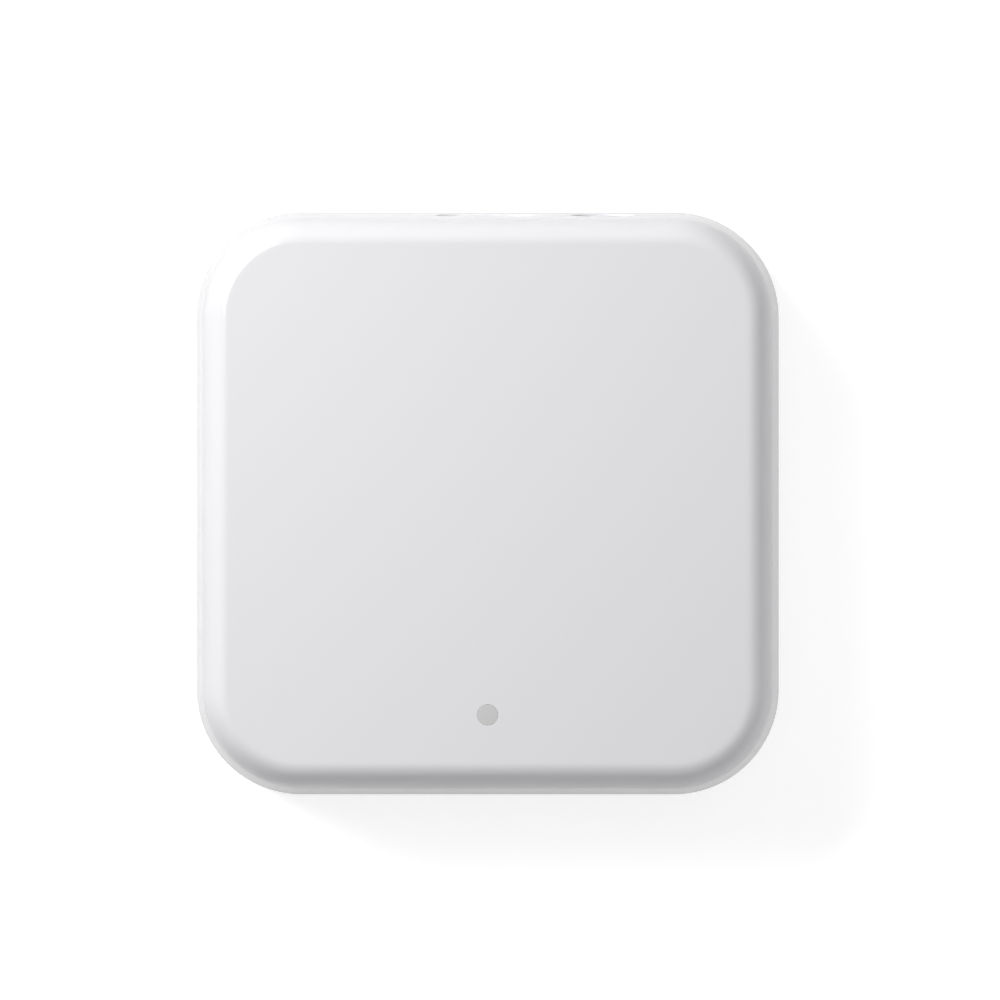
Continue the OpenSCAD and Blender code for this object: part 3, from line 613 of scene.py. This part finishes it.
@dataclass
class TopCover:
    """The glossy cover: face, rolled edge, side walls and lip."""

    corner_radius: float = 12.6 * MM
    draft: float = math.radians(3.0)
    wall: float = 2.0 * MM
    lip: float = 0.95 * MM
    lip_rise: float = 2.3 * MM
    roll_down: float = 6.0 * MM
    roll_in: float = 2.9 * MM
    roll_power: float = 2.15
    inner_roll: float = 0.6 * MM
    rim_round: float = 0.12 * MM
    edge_round: float = 0.15 * MM
    recess_depth: float = 0.5 * MM
    port_z: float = 13.0 * MM
    port_play: float = 0.25 * MM
    port_margin: float = 1.75 * MM
    cap_radius: float = 2.0 * MM
    cap_play: float = 0.2 * MM
    cap_margin: float = 2.0 * MM
    light_hole: float = 1.25 * MM
    light_edge: float = 0.03 * MM
    light_y: float = -25.3 * MM
    patch_x: Pair = (-8.5 * MM, 20.0 * MM)
    patch_z: Pair = (8.0 * MM, 18.2 * MM)
    turn: int = 36

    def __post_init__(self) -> None:
        """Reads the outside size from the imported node."""
        low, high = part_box("top_cover")
        self.seam, self.top = low.z, high.z
        self.centre = (high.x - self.corner_radius, high.y - self.corner_radius)

    def reach(self, z: float | np.ndarray, depth: float = 0.0) -> float | np.ndarray:
        """Reach of the drafted wall from the corner centres at a height, less a depth."""
        return self.corner_radius - (z - self.seam) * math.tan(self.draft) - depth

    def inner_profile(self) -> np.ndarray:
        """Reach and height from the roof's edge down the inner wall to the rim."""
        roof, r = self.top - self.wall, self.inner_roll
        roll = arc((self.reach(roof, self.wall) - r, roof - r), r, 90, 0, 6)
        rows = [(self.reach(z, self.wall), z) for z in self.patch_z[::-1]]
        step, lip = self.seam + self.lip_rise, self.corner_radius - self.lip
        return np.vstack((roll, rows, [(self.reach(step, self.wall), step), (lip, step), (lip, self.seam)]))

    def outer_profile(self) -> np.ndarray:
        """Reach and height from the rim up the wall and over the roll to the face's edge."""
        lean = np.array((-math.sin(self.draft), math.cos(self.draft)))
        corner = np.array((self.reach(self.top), self.top))
        start, end = corner - self.roll_down * lean, corner - np.array((self.roll_in, 0.0))
        r = self.rim_round
        rim = arc((self.corner_radius - r, self.seam + r), r, -90, 0, 4)
        rows = [(self.reach(z), z) for z in (*self.patch_z, start[1] - 2 * r)]
        roll = rolled_corner(start, corner, end, self.roll_power, 28)
        return np.vstack((rim, rows, roll, [(end[0] - 2 * r, self.top)]))

    def holes(self) -> list[Hole]:
        """The inlet's slot and the button's round hole."""
        low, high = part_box("inlet_shell")
        half_w, half_h = (high.x - low.x) / 2, high.z - self.port_z
        low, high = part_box("reset_button")
        return [
            Hole(slot_loop(half_w - half_h, 24).moved(0.0, self.port_z), half_h + self.port_play,
                 half_h + self.port_margin),
            Hole(circle_loop(72).moved((low.x + high.x) / 2, self.port_z), self.cap_radius + self.cap_play,
                 self.cap_radius + self.cap_margin),
        ]

    def open_rear(self, shell: Shell) -> None:
        """Adds the two wall patches and, for each opening, its recess and its through wall."""
        (x0, x1), (z0, z1) = self.patch_x, self.patch_z
        border = np.array(((x0, z0), (x1, z0), (x1, z1), (x0, z1)))
        bottom = self.centre[1] + self.reach(self.port_z, self.recess_depth)

        def outer(points: np.ndarray) -> np.ndarray:
            """Y of the wall's outer face at (x, z) places."""
            return self.centre[1] + self.reach(points[:, 1])

        def inner(points: np.ndarray) -> np.ndarray:
            """Y of the wall's inner face at (x, z) places."""
            return outer(points) - self.wall

        def row(hole: Hole, reach: float, y: np.ndarray | float) -> np.ndarray:
            """Points of a hole's outline at a reach, at a depth in the wall."""
            edge = hole.loop.at(reach)
            return np.column_stack((edge[:, 0], np.broadcast_to(y, len(edge)), edge[:, 1]))

        holes, r = self.holes(), self.edge_round
        shell.patch(border, [h.loop.at(h.recess + 2 * r) for h in holes], Plane.UPRIGHT, outer)
        shell.patch(border, [h.loop.at(h.through) for h in holes], Plane.UPRIGHT, inner)
        for hole in holes:
            brim = [row(hole, reach, outer(hole.loop.at(reach)) - depth) for reach, depth in eased(hole.recess, r)]
            shell.grid(np.stack([*brim, row(hole, hole.recess, bottom)]))
            shell.patch(hole.loop.at(hole.recess), [hole.loop.at(hole.through + 2 * r)], Plane.UPRIGHT, bottom)
            mouth = [row(hole, reach, bottom - depth) for reach, depth in eased(hole.through, r)]
            shell.grid(np.stack([*mouth, row(hole, hole.through, inner(hole.loop.at(hole.through)))]))

    def build(self) -> Object:
        """Welds the skin, its face and the openings into one closed shell."""
        loop = rounded_loop(*self.centre, self.turn, self.patch_x)
        profile = np.vstack((self.inner_profile(), self.outer_profile()))
        skin = carried(profile, loop)
        side, ends = self.turn + 1, set(self.patch_z)
        rows = [i for i, pair in enumerate(zip(profile[:-1, 1], profile[1:, 1])) if set(pair) == ends]
        shell = Shell()
        shell.grid(skin, skip=tuple((row, side) for row in rows))
        light = circle_loop().moved(0.0, self.light_y)
        r, roof = self.light_edge, self.top - self.wall
        well = np.vstack((eased(self.light_hole, r) * (1, -1) + (0, self.top), [(self.light_hole, roof)]))
        shell.grid(carried(well, light))
        shell.patch(skin[-1, :, :2], [light.at(well[0, 0])], Plane.LEVEL, self.top)
        shell.patch(skin[0, :, :2], [light.at(self.light_hole)], Plane.LEVEL, roof)
        self.open_rear(shell)
        return shell.piece("cover_shell")


@dataclass
class CoverBosses:
    """What hangs from the roof: screw bosses, board pillars, their webs and the light's guide."""

    boss_radius: float = 2.7 * MM
    pillar_radius: float = 2.4 * MM
    pillar_at: Pair = (27.05 * MM, 17.5 * MM)
    bore: float = 1.04 * MM
    boss_depth: float = 8.5 * MM
    pillar_depth: float = 6.0 * MM
    seat: float = 5.2 * MM
    guide_radius: float = 3.6 * MM
    guide_bore: float = 2.05 * MM
    guide_low: float = 17.3 * MM
    web: float = 1.0 * MM
    web_high: float = 22.8 * MM
    boss_web: float = 6.2 * MM
    pillar_web: float = 6.0 * MM
    web_gap: float = 2.0 * MM
    ease: float = 0.2 * MM

    def post(self, shell: Shell, centre: Pair, radius: float, low: float, depth: float,
             high: float) -> None:
        """Adds a round post with a blind bore: its half section turned about its own axis.

        Args:
            shell: what it is added to.
            centre: X and Y of its axis.
            radius: its outer radius.
            low: height of its end.
            depth: depth of its bore.
            high: height that it runs up to, inside the roof.
        """
        r = self.ease
        section = np.vstack((
            [(0.0, high), (radius, high)], arc((radius - r, low + r), r, 0, -90, 4),
            arc((self.bore + r, low + r), r, 270, 180, 4), [(self.bore, low + depth), (0.0, low + depth)]))
        shell.grid(carried(section, circle_loop(48).moved(*centre)))

    def build(self, cover: TopCover) -> Object:
        """Makes every post, web and the guide, each a closed surface that runs into the roof."""
        high = cover.top - cover.wall + SUNK
        at, board = foot_place(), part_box("main_board")[1].z
        out = self.boss_web / 2 / math.sqrt(2)
        shell = Shell()
        for sx, sy in QUARTERS:
            boss = (sx * at.x, sy * at.y)
            pillar = (sx * self.pillar_at[0], sy * self.pillar_at[1])
            self.post(shell, boss, self.boss_radius, self.seat, self.boss_depth, high)
            self.post(shell, pillar, self.pillar_radius, board, self.pillar_depth, high)
            shell.bar(self.boss_web, self.web, (boss[0] + sx * out, boss[1] + sy * out), math.atan2(sy, sx),
                      board, self.web_high, self.ease)
            shell.bar(self.pillar_web, self.web, (pillar[0] + sx * self.pillar_web / 2, pillar[1]), 0.0,
                      board + self.web_gap, self.web_high, self.ease)
        tube = np.array(((self.guide_bore, self.guide_low), (self.guide_radius, self.guide_low),
                         (self.guide_radius, high), (self.guide_bore, high)))
        shell.grid(carried(tube, circle_loop(64).moved(0.0, cover.light_y)), ends_meet=True)
        return shell.piece("cover_bosses")


@dataclass
class BottomCover:
    """The satin base: rolled lower edge, tongue, screw wells, foot recesses and label recess."""

    corner_radius: float = 12.25 * MM
    draft: float = math.radians(3.0)
    wall: float = 2.0 * MM
    roll: float = 1.9 * MM
    roll_power: float = 2.1
    inner_roll: float = 0.6 * MM
    rim_round: float = 0.15 * MM
    rim: float = 4.7 * MM
    tongue: Pair = (10.55 * MM, 11.55 * MM)
    foot_recess: Pair = (4.3 * MM, 0.7 * MM)
    screw_well: Pair = (2.2 * MM, 3.2 * MM)
    screw_hole: float = 1.2 * MM
    boss: Pair = (3.7 * MM, 5.2 * MM)
    label: Pair = (17.2 * MM, 11.2 * MM)
    label_corner: float = 1.7 * MM
    label_depth: float = 0.15 * MM
    label_edge: float = 0.05 * MM
    rib: float = 1.0 * MM
    rib_high: float = 4.0 * MM
    turn: int = 36

    def __post_init__(self) -> None:
        """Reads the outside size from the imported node."""
        low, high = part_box("bottom_cover")
        self.bottom, self.tongue_top = low.z, high.z
        self.centre = (high.x - self.corner_radius, high.y - self.corner_radius)
        self.floor = self.bottom + self.wall

    def reach(self, z: float, depth: float = 0.0) -> float:
        """Reach of the wall, which leans in towards the bottom, at a height, less a depth."""
        return self.corner_radius - (self.rim - z) * math.tan(self.draft) - depth

    def profile(self) -> np.ndarray:
        """Reach and height from the floor up the inside, over the tongue and down to the bottom."""
        r, t = self.inner_roll, self.rim_round
        inner = arc((self.reach(self.floor, self.wall) - r, self.floor + r), r, -90, 0, 6)
        low, high = self.tongue
        tongue = np.vstack((
            [(self.reach(self.rim, self.wall), self.rim), (low, self.rim)],
            arc((low + t, self.tongue_top - t), t, 180, 90, 3), arc((high - t, self.tongue_top - t), t, 90, 0, 3),
            [(high, self.rim)]))
        rim = arc((self.corner_radius - t, self.rim - t), t, 90, 0, 4)
        lean = np.array((math.sin(self.draft), math.cos(self.draft)))
        corner = np.array((self.reach(self.bottom), self.bottom))
        start, end = corner + self.roll * lean, corner - np.array((self.roll, 0.0))
        roll = rolled_corner(start, corner, end, self.roll_power, 20)
        return np.vstack((inner, tongue, rim, roll, [(end[0] - t, self.bottom)]))

    def build(self) -> Object:
        """Welds the skin, the floor, the wells and the label's recess into one closed shell."""
        skin = carried(self.profile(), rounded_loop(*self.centre, self.turn))
        at = foot_place()
        wells = [circle_loop(72).moved(sx * at.x, sy * at.y) for sx, sy in QUARTERS]
        (recess, depth), (well, seat), (boss, boss_top) = self.foot_recess, self.screw_well, self.boss
        r = self.rim_round
        bore = np.vstack((
            eased(recess, r) + (0, self.bottom),
            [(recess, self.bottom + depth), (well, self.bottom + depth), (well, seat), (self.screw_hole, seat),
             (self.screw_hole, boss_top), (boss, boss_top), (boss, self.floor)]))
        shell = Shell()
        shell.grid(skin)
        for loop in wells:
            shell.grid(carried(bore, loop))
        r = self.label_edge
        label = rounded_loop(self.label[0] - self.label_corner, self.label[1] - self.label_corner, 12)
        step = np.vstack((eased(self.label_corner, r) + (0, self.bottom),
                          [(self.label_corner, self.bottom + self.label_depth)]))
        shell.grid(carried(step, label))
        shell.patch(label.at(self.label_corner), [], Plane.LEVEL, self.bottom + self.label_depth)
        shell.patch(skin[-1, :, :2], [*(loop.at(bore[0, 0]) for loop in wells), label.at(step[0, 0])],
                    Plane.LEVEL, self.bottom)
        shell.patch(skin[0, :, :2], [loop.at(boss) for loop in wells], Plane.LEVEL, self.floor)
        return shell.piece("base_shell")

    def build_ribs(self) -> Object:
        """Four ribs across the floor, each a rounded bar that runs into both walls."""
        at, half = foot_place() / 2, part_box("bottom_cover")[1]
        shell = Shell()
        for side in (-1, 1):
            across, along = (half.x, (0.0, side * at.y), 0.0), (half.y, (side * at.x, 0.0), math.pi / 2)
            for reach, centre, angle in (across, along):
                length = 2 * (reach - self.wall / 2)
                shell.bar(length, self.rib, centre, angle, self.floor - SUNK, self.rib_high, SUNK)
        return shell.piece("base_ribs")


# ---- Small parts ----


@dataclass
class Foot:
    """A round rubber foot with an eased rim and a shallow dish that grips by its ring."""

    node: str
    edge: float = 0.5 * MM
    back_edge: float = 0.15 * MM
    dish_radius: float = 2.3 * MM
    dish_slope: float = 0.5 * MM
    dish_depth: float = 0.12 * MM

    def build(self) -> Object:
        """Turns the foot's half section about its axis."""
        low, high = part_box(self.node)
        x, y = (low.x + high.x) / 2, (low.y + high.y) / 2
        radius, top, e, b = (high.x - low.x) / 2, high.z, self.edge, self.back_edge
        t = np.linspace(0.0, math.pi, 9)[:, None]
        ease = self.dish_depth * (1 + np.cos(t)) / 2
        slope = np.hstack((self.dish_radius + self.dish_slope * t / math.pi, ease))
        section = np.vstack((
            [(0.0, self.dish_depth)], slope, arc((radius - e, e), e, -90, 0, 8),
            arc((radius - b, top - b), b, 0, 90, 4), [(0.0, top)]))
        return turned(self.node + "_pad", section, circle_loop().moved(x, y))


@dataclass
class LightPipe:
    """The stepped light pipe, whose tip lies flush in the face inside a hairline gap."""

    tip: float = 1.235 * MM
    edge: float = 0.03 * MM
    body: float = 2.0 * MM
    low: float = 13.8 * MM
    shoulder: float = 24.0 * MM
    crown: float = 0.02 * MM

    def build(self, cover: TopCover) -> Object:
        """Turns the pipe's half section about its axis."""
        r, top = self.edge, cover.top - self.crown
        spread = np.linspace(0.0, 1.0, 9)[:, None]
        crown = np.hstack((spread * (self.tip - r), top + self.crown * (1 - spread ** 2)))
        section = np.vstack((
            crown, arc((self.tip - r, top - r), r, 90, 0, 4), [(self.tip, self.shoulder)],
            arc((self.body - r, self.shoulder - r), r, 90, 0, 4), arc((self.body - r, self.low + r), r, 0, -90, 4),
            [(0.0, self.low)]))
        return turned("light_pipe_tip", section, circle_loop().moved(0.0, cover.light_y))


@dataclass
class Inlet:
    """The drawn metal shell of the power inlet, with its solder tabs."""

    metal: float = 0.3 * MM
    flare: float = 0.1 * MM
    flare_depth: float = 0.45 * MM
    tab: Pair = (0.3 * MM, 1.1 * MM)
    tab_y: Pair = (28.03 * MM, 30.73 * MM)
    ease: float = 0.05 * MM

    def build(self, cover: TopCover) -> Object:
        """Carries the wall's section, rounded at the lip, round the slot, and adds the tabs."""
        low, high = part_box("inlet_shell")
        half_w, half_h = (high.x - low.x) / 2, high.z - cover.port_z
        loop = slot_loop(half_w - half_h, 32).moved(0.0, cover.port_z)
        inner, nose = half_h - self.metal, (self.metal - self.flare) / 2
        t = np.linspace(0.0, 1.0, 7)[:, None]
        lead = np.hstack((inner + self.flare * t ** 2, high.y - nose - self.flare_depth * (1 - t)))
        section = np.vstack((
            [(half_h, low.y), (inner, low.y)], lead,
            arc((half_h - nose, high.y - nose), nose, 180, 0, 8)[1:]))
        shell = Shell()
        shell.grid(carried(section, loop, Plane.UPRIGHT), ends_meet=True)
        for side in (-1, 1):
            for y in self.tab_y:
                shell.bar(*self.tab, (side * (half_w - self.metal / 2), y), 0.0, low.z, cover.port_z, self.ease)
        return shell.piece("inlet_drawn_shell")


@dataclass
class ResetButton:
    """The button's cap: a dished round head, the flange that traps it and the boss behind."""

    head: float = 2.0 * MM
    head_edge: float = 0.45 * MM
    dish: float = 0.14 * MM
    flange: Triple = (3.2 * MM, 31.46 * MM, 32.26 * MM)
    flange_edge: float = 0.15 * MM
    boss: float = 1.3 * MM

    def build(self, cover: TopCover) -> Object:
        """Turns the cap's half section about the axis that it moves along."""
        low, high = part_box("reset_button")
        radius, back, front = self.flange
        e, r = self.head_edge, self.flange_edge
        spread = np.linspace(1.0, 0.0, 13)[:, None]
        dish = np.hstack((spread * (self.head - e), high.y - self.dish * (1 - spread ** 2) ** 2))
        section = np.vstack((
            [(0.0, low.y), (self.boss, low.y), (self.boss, back)], arc((radius - r, back + r), r, -90, 0, 4),
            arc((radius - r, front - r), r, 0, 90, 4), [(self.head, front)],
            arc((self.head - e, high.y - e), e, 0, 90, 10), dish[1:]))
        loop = circle_loop().moved((low.x + high.x) / 2, cover.port_z)
        return turned("reset_button_cap", section, loop, Plane.UPRIGHT)


@dataclass
class SnapDome:
    """The thin sprung cap under the switch's stem, which flattens as the button is pressed."""

    sheet: float = 0.06 * MM
    pressed: float = 0.36
    joint: str = "reset_button_travel"

    def build(self) -> Object:
        """Turns a slice of a hollow ball about the stem's axis.

        With R the ball's radius, reach = R sin(a) and height = R cos(a), less the part of the
        ball that lies behind the pocket's floor.
        """
        low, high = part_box("reset_switch_dome")
        rise, rim = high.y - low.y, (high.x - low.x) / 2
        outer = (rise ** 2 + rim ** 2) / (2 * rise)
        sunk, inner = outer - rise, outer - self.sheet
        angle = np.linspace(0.0, math.acos(sunk / outer), 17)
        under = np.linspace(0.0, math.acos(sunk / inner), 17)
        section = np.vstack((
            np.column_stack((inner * np.sin(under), low.y - sunk + inner * np.cos(under))),
            np.column_stack((outer * np.sin(angle), low.y - sunk + outer * np.cos(angle)))[::-1]))
        loop = circle_loop(64).moved((low.x + high.x) / 2, (low.z + high.z) / 2)
        return turned("reset_snap_dome", section, loop, Plane.UPRIGHT)

    def spring(self, piece: Object) -> None:
        """Gives the finished dome a mesh of its own; its shape stays as built."""
        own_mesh(piece)


# ---- Stage ----


@dataclass(frozen=True)
class Lamp:
    """One soft box that faces the hub and isn't seen itself, except as a highlight if mirrored.

    Attributes:
        name: the lamp's name.
        place: its centre, in metres.
        size: its width and height, in metres.
        watts: its power.
        mirrored: whether the gloss shows it.
    """

    name: str
    place: Triple
    size: Pair
    watts: float
    mirrored: bool = False

    def build(self) -> None:
        """Hangs the soft box in the scene."""
        data = bpy.data.lights.new(self.name, "AREA")
        data.shape, data.size, data.size_y, data.energy = "RECTANGLE", *self.size, self.watts
        thing = placed(self.name, data)
        thing.location = self.place
        thing.rotation_euler = (-Vector(self.place)).to_track_quat("-Z", "Y").to_euler()
        thing.visible_camera, thing.visible_glossy = False, self.mirrored


@dataclass
class Studio:
    """Pale floor, soft lamps, pale room and the camera straight above the face."""

    lens: float = 1000.0
    sensor: float = 36.0
    view_width: float = 120.3 * MM
    aim: Pair = (1.48 * MM, 0.4 * MM)
    outline_z: float = 5.0 * MM
    floor_colour: str = "#E6E6E6"
    floor_reach: float = 12.0
    far: float = 100.0
    floor_lift: float = 0.68
    floor_mirrored: float = 0.5
    room_dark: float = 0.205
    room_light: float = 0.39
    room_towards: Triple = (-0.6, 0.8, 0.0)
    lamps: tuple[Lamp, ...] = (
        Lamp("key", (-0.2, 0.16, 0.3), (0.22, 0.2), 1.2, True),
        Lamp("fill", (0.6, -0.2, 0.07), (0.5, 0.14), 0.75),
        Lamp("back", (-0.1, 0.6, 0.08), (0.6, 0.15), 0.45))

    def camera(self) -> None:
        """A long lens keeps the side walls as slim as they are face-on."""
        data = bpy.data.cameras.new("camera")
        data.lens, data.sensor_width, data.clip_end = self.lens, self.sensor, self.far
        thing = placed("camera", data)
        thing.location = (*self.aim, self.outline_z + self.view_width * self.lens / self.sensor)
        bpy.context.scene.camera = thing

    def share(self, tree: NodeTree, amount: float, *kinds: str) -> NodeSocket:
        """An amount for rays of two kinds, and 0 for the rays that light the hub.

        Args:
            tree: the node tree of the floor or the room.
            amount: what those rays get.
            kinds: the two outputs of the ray's path.
        """
        path = add(tree, "LightPath")
        asked = {i: path.outputs[kind] for i, kind in enumerate(kinds)}
        either = add(tree, "Math", {"operation": "MAXIMUM"}, asked)
        return add(tree, "Math", {"operation": "MULTIPLY", 1: amount}, {0: either.outputs[0]}).outputs[0]

    def room(self) -> None:
        """White to the camera; to the hub, softly lighter behind it and to its left."""
        world = bpy.data.worlds.new("room")
        bpy.context.scene.world = world
        tree = emptied(world)
        way = add(tree, "TexCoord").outputs["Object"]
        side = add(tree, "VectorMath", {"operation": "DOT_PRODUCT", 1: self.room_towards}, {0: way})
        level = add(tree, "MapRange", {
            "From Min": -1.0, "From Max": 1.0, "To Min": self.room_dark, "To Max": self.room_light},
            {"Value": side.outputs["Value"]})
        dim = add(tree, "Background", {"Color": WHITE}, {"Strength": level.outputs[0]})
        white = add(tree, "Background", {"Color": WHITE, "Strength": 1.0})
        seen = add(tree, "Math", {"operation": "MAXIMUM"}, {
            0: self.share(tree, 1.0, "Is Camera Ray", "Is Transmission Ray"),
            1: self.share(tree, 1.0, "Is Glossy Ray", "Is Singular Ray")})
        mix = add(tree, "MixShader", links={0: seen.outputs[0], 1: dim.outputs[0], 2: white.outputs[0]})
        add(tree, "OutputWorld", links={"Surface": mix.outputs[0]})

    def floor(self) -> None:
        """A wide pale sheet that takes the hub's shadow and reads white where it is lit."""
        mesh = bpy.data.meshes.new("floor")
        corners = np.array(((-1, -1, 0), (1, -1, 0), (1, 1, 0), (-1, 1, 0))) * self.floor_reach
        mesh.from_pydata(corners.tolist(), [], [(0, 1, 2, 3)])
        thing = placed("floor", mesh)
        material = bpy.data.materials.new("pale_floor")
        tree = emptied(material)
        paint = add(tree, "BsdfDiffuse", {"Color": linear(self.floor_colour)})
        white = add(tree, "Emission", {"Color": WHITE, "Strength": 1.0})
        mirrored = add(tree, "MixShader", links={
            0: self.share(tree, self.floor_mirrored, "Is Glossy Ray", "Is Singular Ray"),
            1: paint.outputs[0], 2: white.outputs[0]})
        glow = add(tree, "Emission", {"Color": WHITE}, {
            "Strength": self.share(tree, self.floor_lift, "Is Camera Ray", "Is Transmission Ray")})
        both = add(tree, "AddShader", links={0: mirrored.outputs[0], 1: glow.outputs[0]})
        add(tree, "OutputMaterial", links={"Surface": both.outputs[0]})
        mesh.materials.append(material)
        thing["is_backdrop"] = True

    def build(self) -> None:
        """Sets the whole stage and the plain view transform."""
        self.camera()
        self.room()
        self.floor()
        for lamp in self.lamps:
            lamp.build()
        bpy.context.scene.view_settings.view_transform = "Standard"


# ---- Putting it together ----


def corners() -> list[list[float]]:
    """The shown object's box as plain numbers."""
    return [list(corner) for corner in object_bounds()]


def settle(piece: Object, slot: str, body: Body, *nodes: str) -> None:
    """Gives a new piece its finish and its body, and hides the CAD nodes that it stands for."""
    piece.data.materials.append(FINISHES[slot].material())
    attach(piece, body.value)
    if nodes:
        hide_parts(*nodes)


def main() -> None:
    """Builds the hub from the outside in and logs each piece."""
    logging.basicConfig(level=logging.INFO, format="%(name)s: %(message)s")
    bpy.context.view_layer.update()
    Studio().build()
    for part in frame["record"]["subparts"]:
        node = frame["nodes"][part["node"]]
        node.data.materials.clear()
        node.data.materials.append(FINISHES[part["material_slot"]].material())
        log.info("%s: %s", part["node"], part["material_slot"])
    cover, base = TopCover(), BottomCover()
    settle(cover.build(), "cover_white", Body.HUB, "top_cover")
    settle(CoverBosses().build(cover), "cover_white", Body.HUB)
    settle(base.build(), "base_white", Body.HUB, "bottom_cover")
    settle(base.build_ribs(), "base_white", Body.HUB)
    for end in ("front_left", "front_right", "rear_left", "rear_right"):
        settle(Foot(end + "_foot").build(), "foot_rubber", Body.HUB, end + "_foot")
    settle(LightPipe().build(cover), "light_guide", Body.HUB, "light_pipe")
    settle(Inlet().build(cover), "inlet_steel", Body.HUB, "inlet_shell")
    settle(ResetButton().build(cover), "button_white", Body.BUTTON, "reset_button")
    dome = SnapDome()
    disc = dome.build()
    settle(disc, "spring_steel", Body.HUB, "reset_switch_dome")
    dome.spring(disc)


if __name__ == "__main__":
    main()
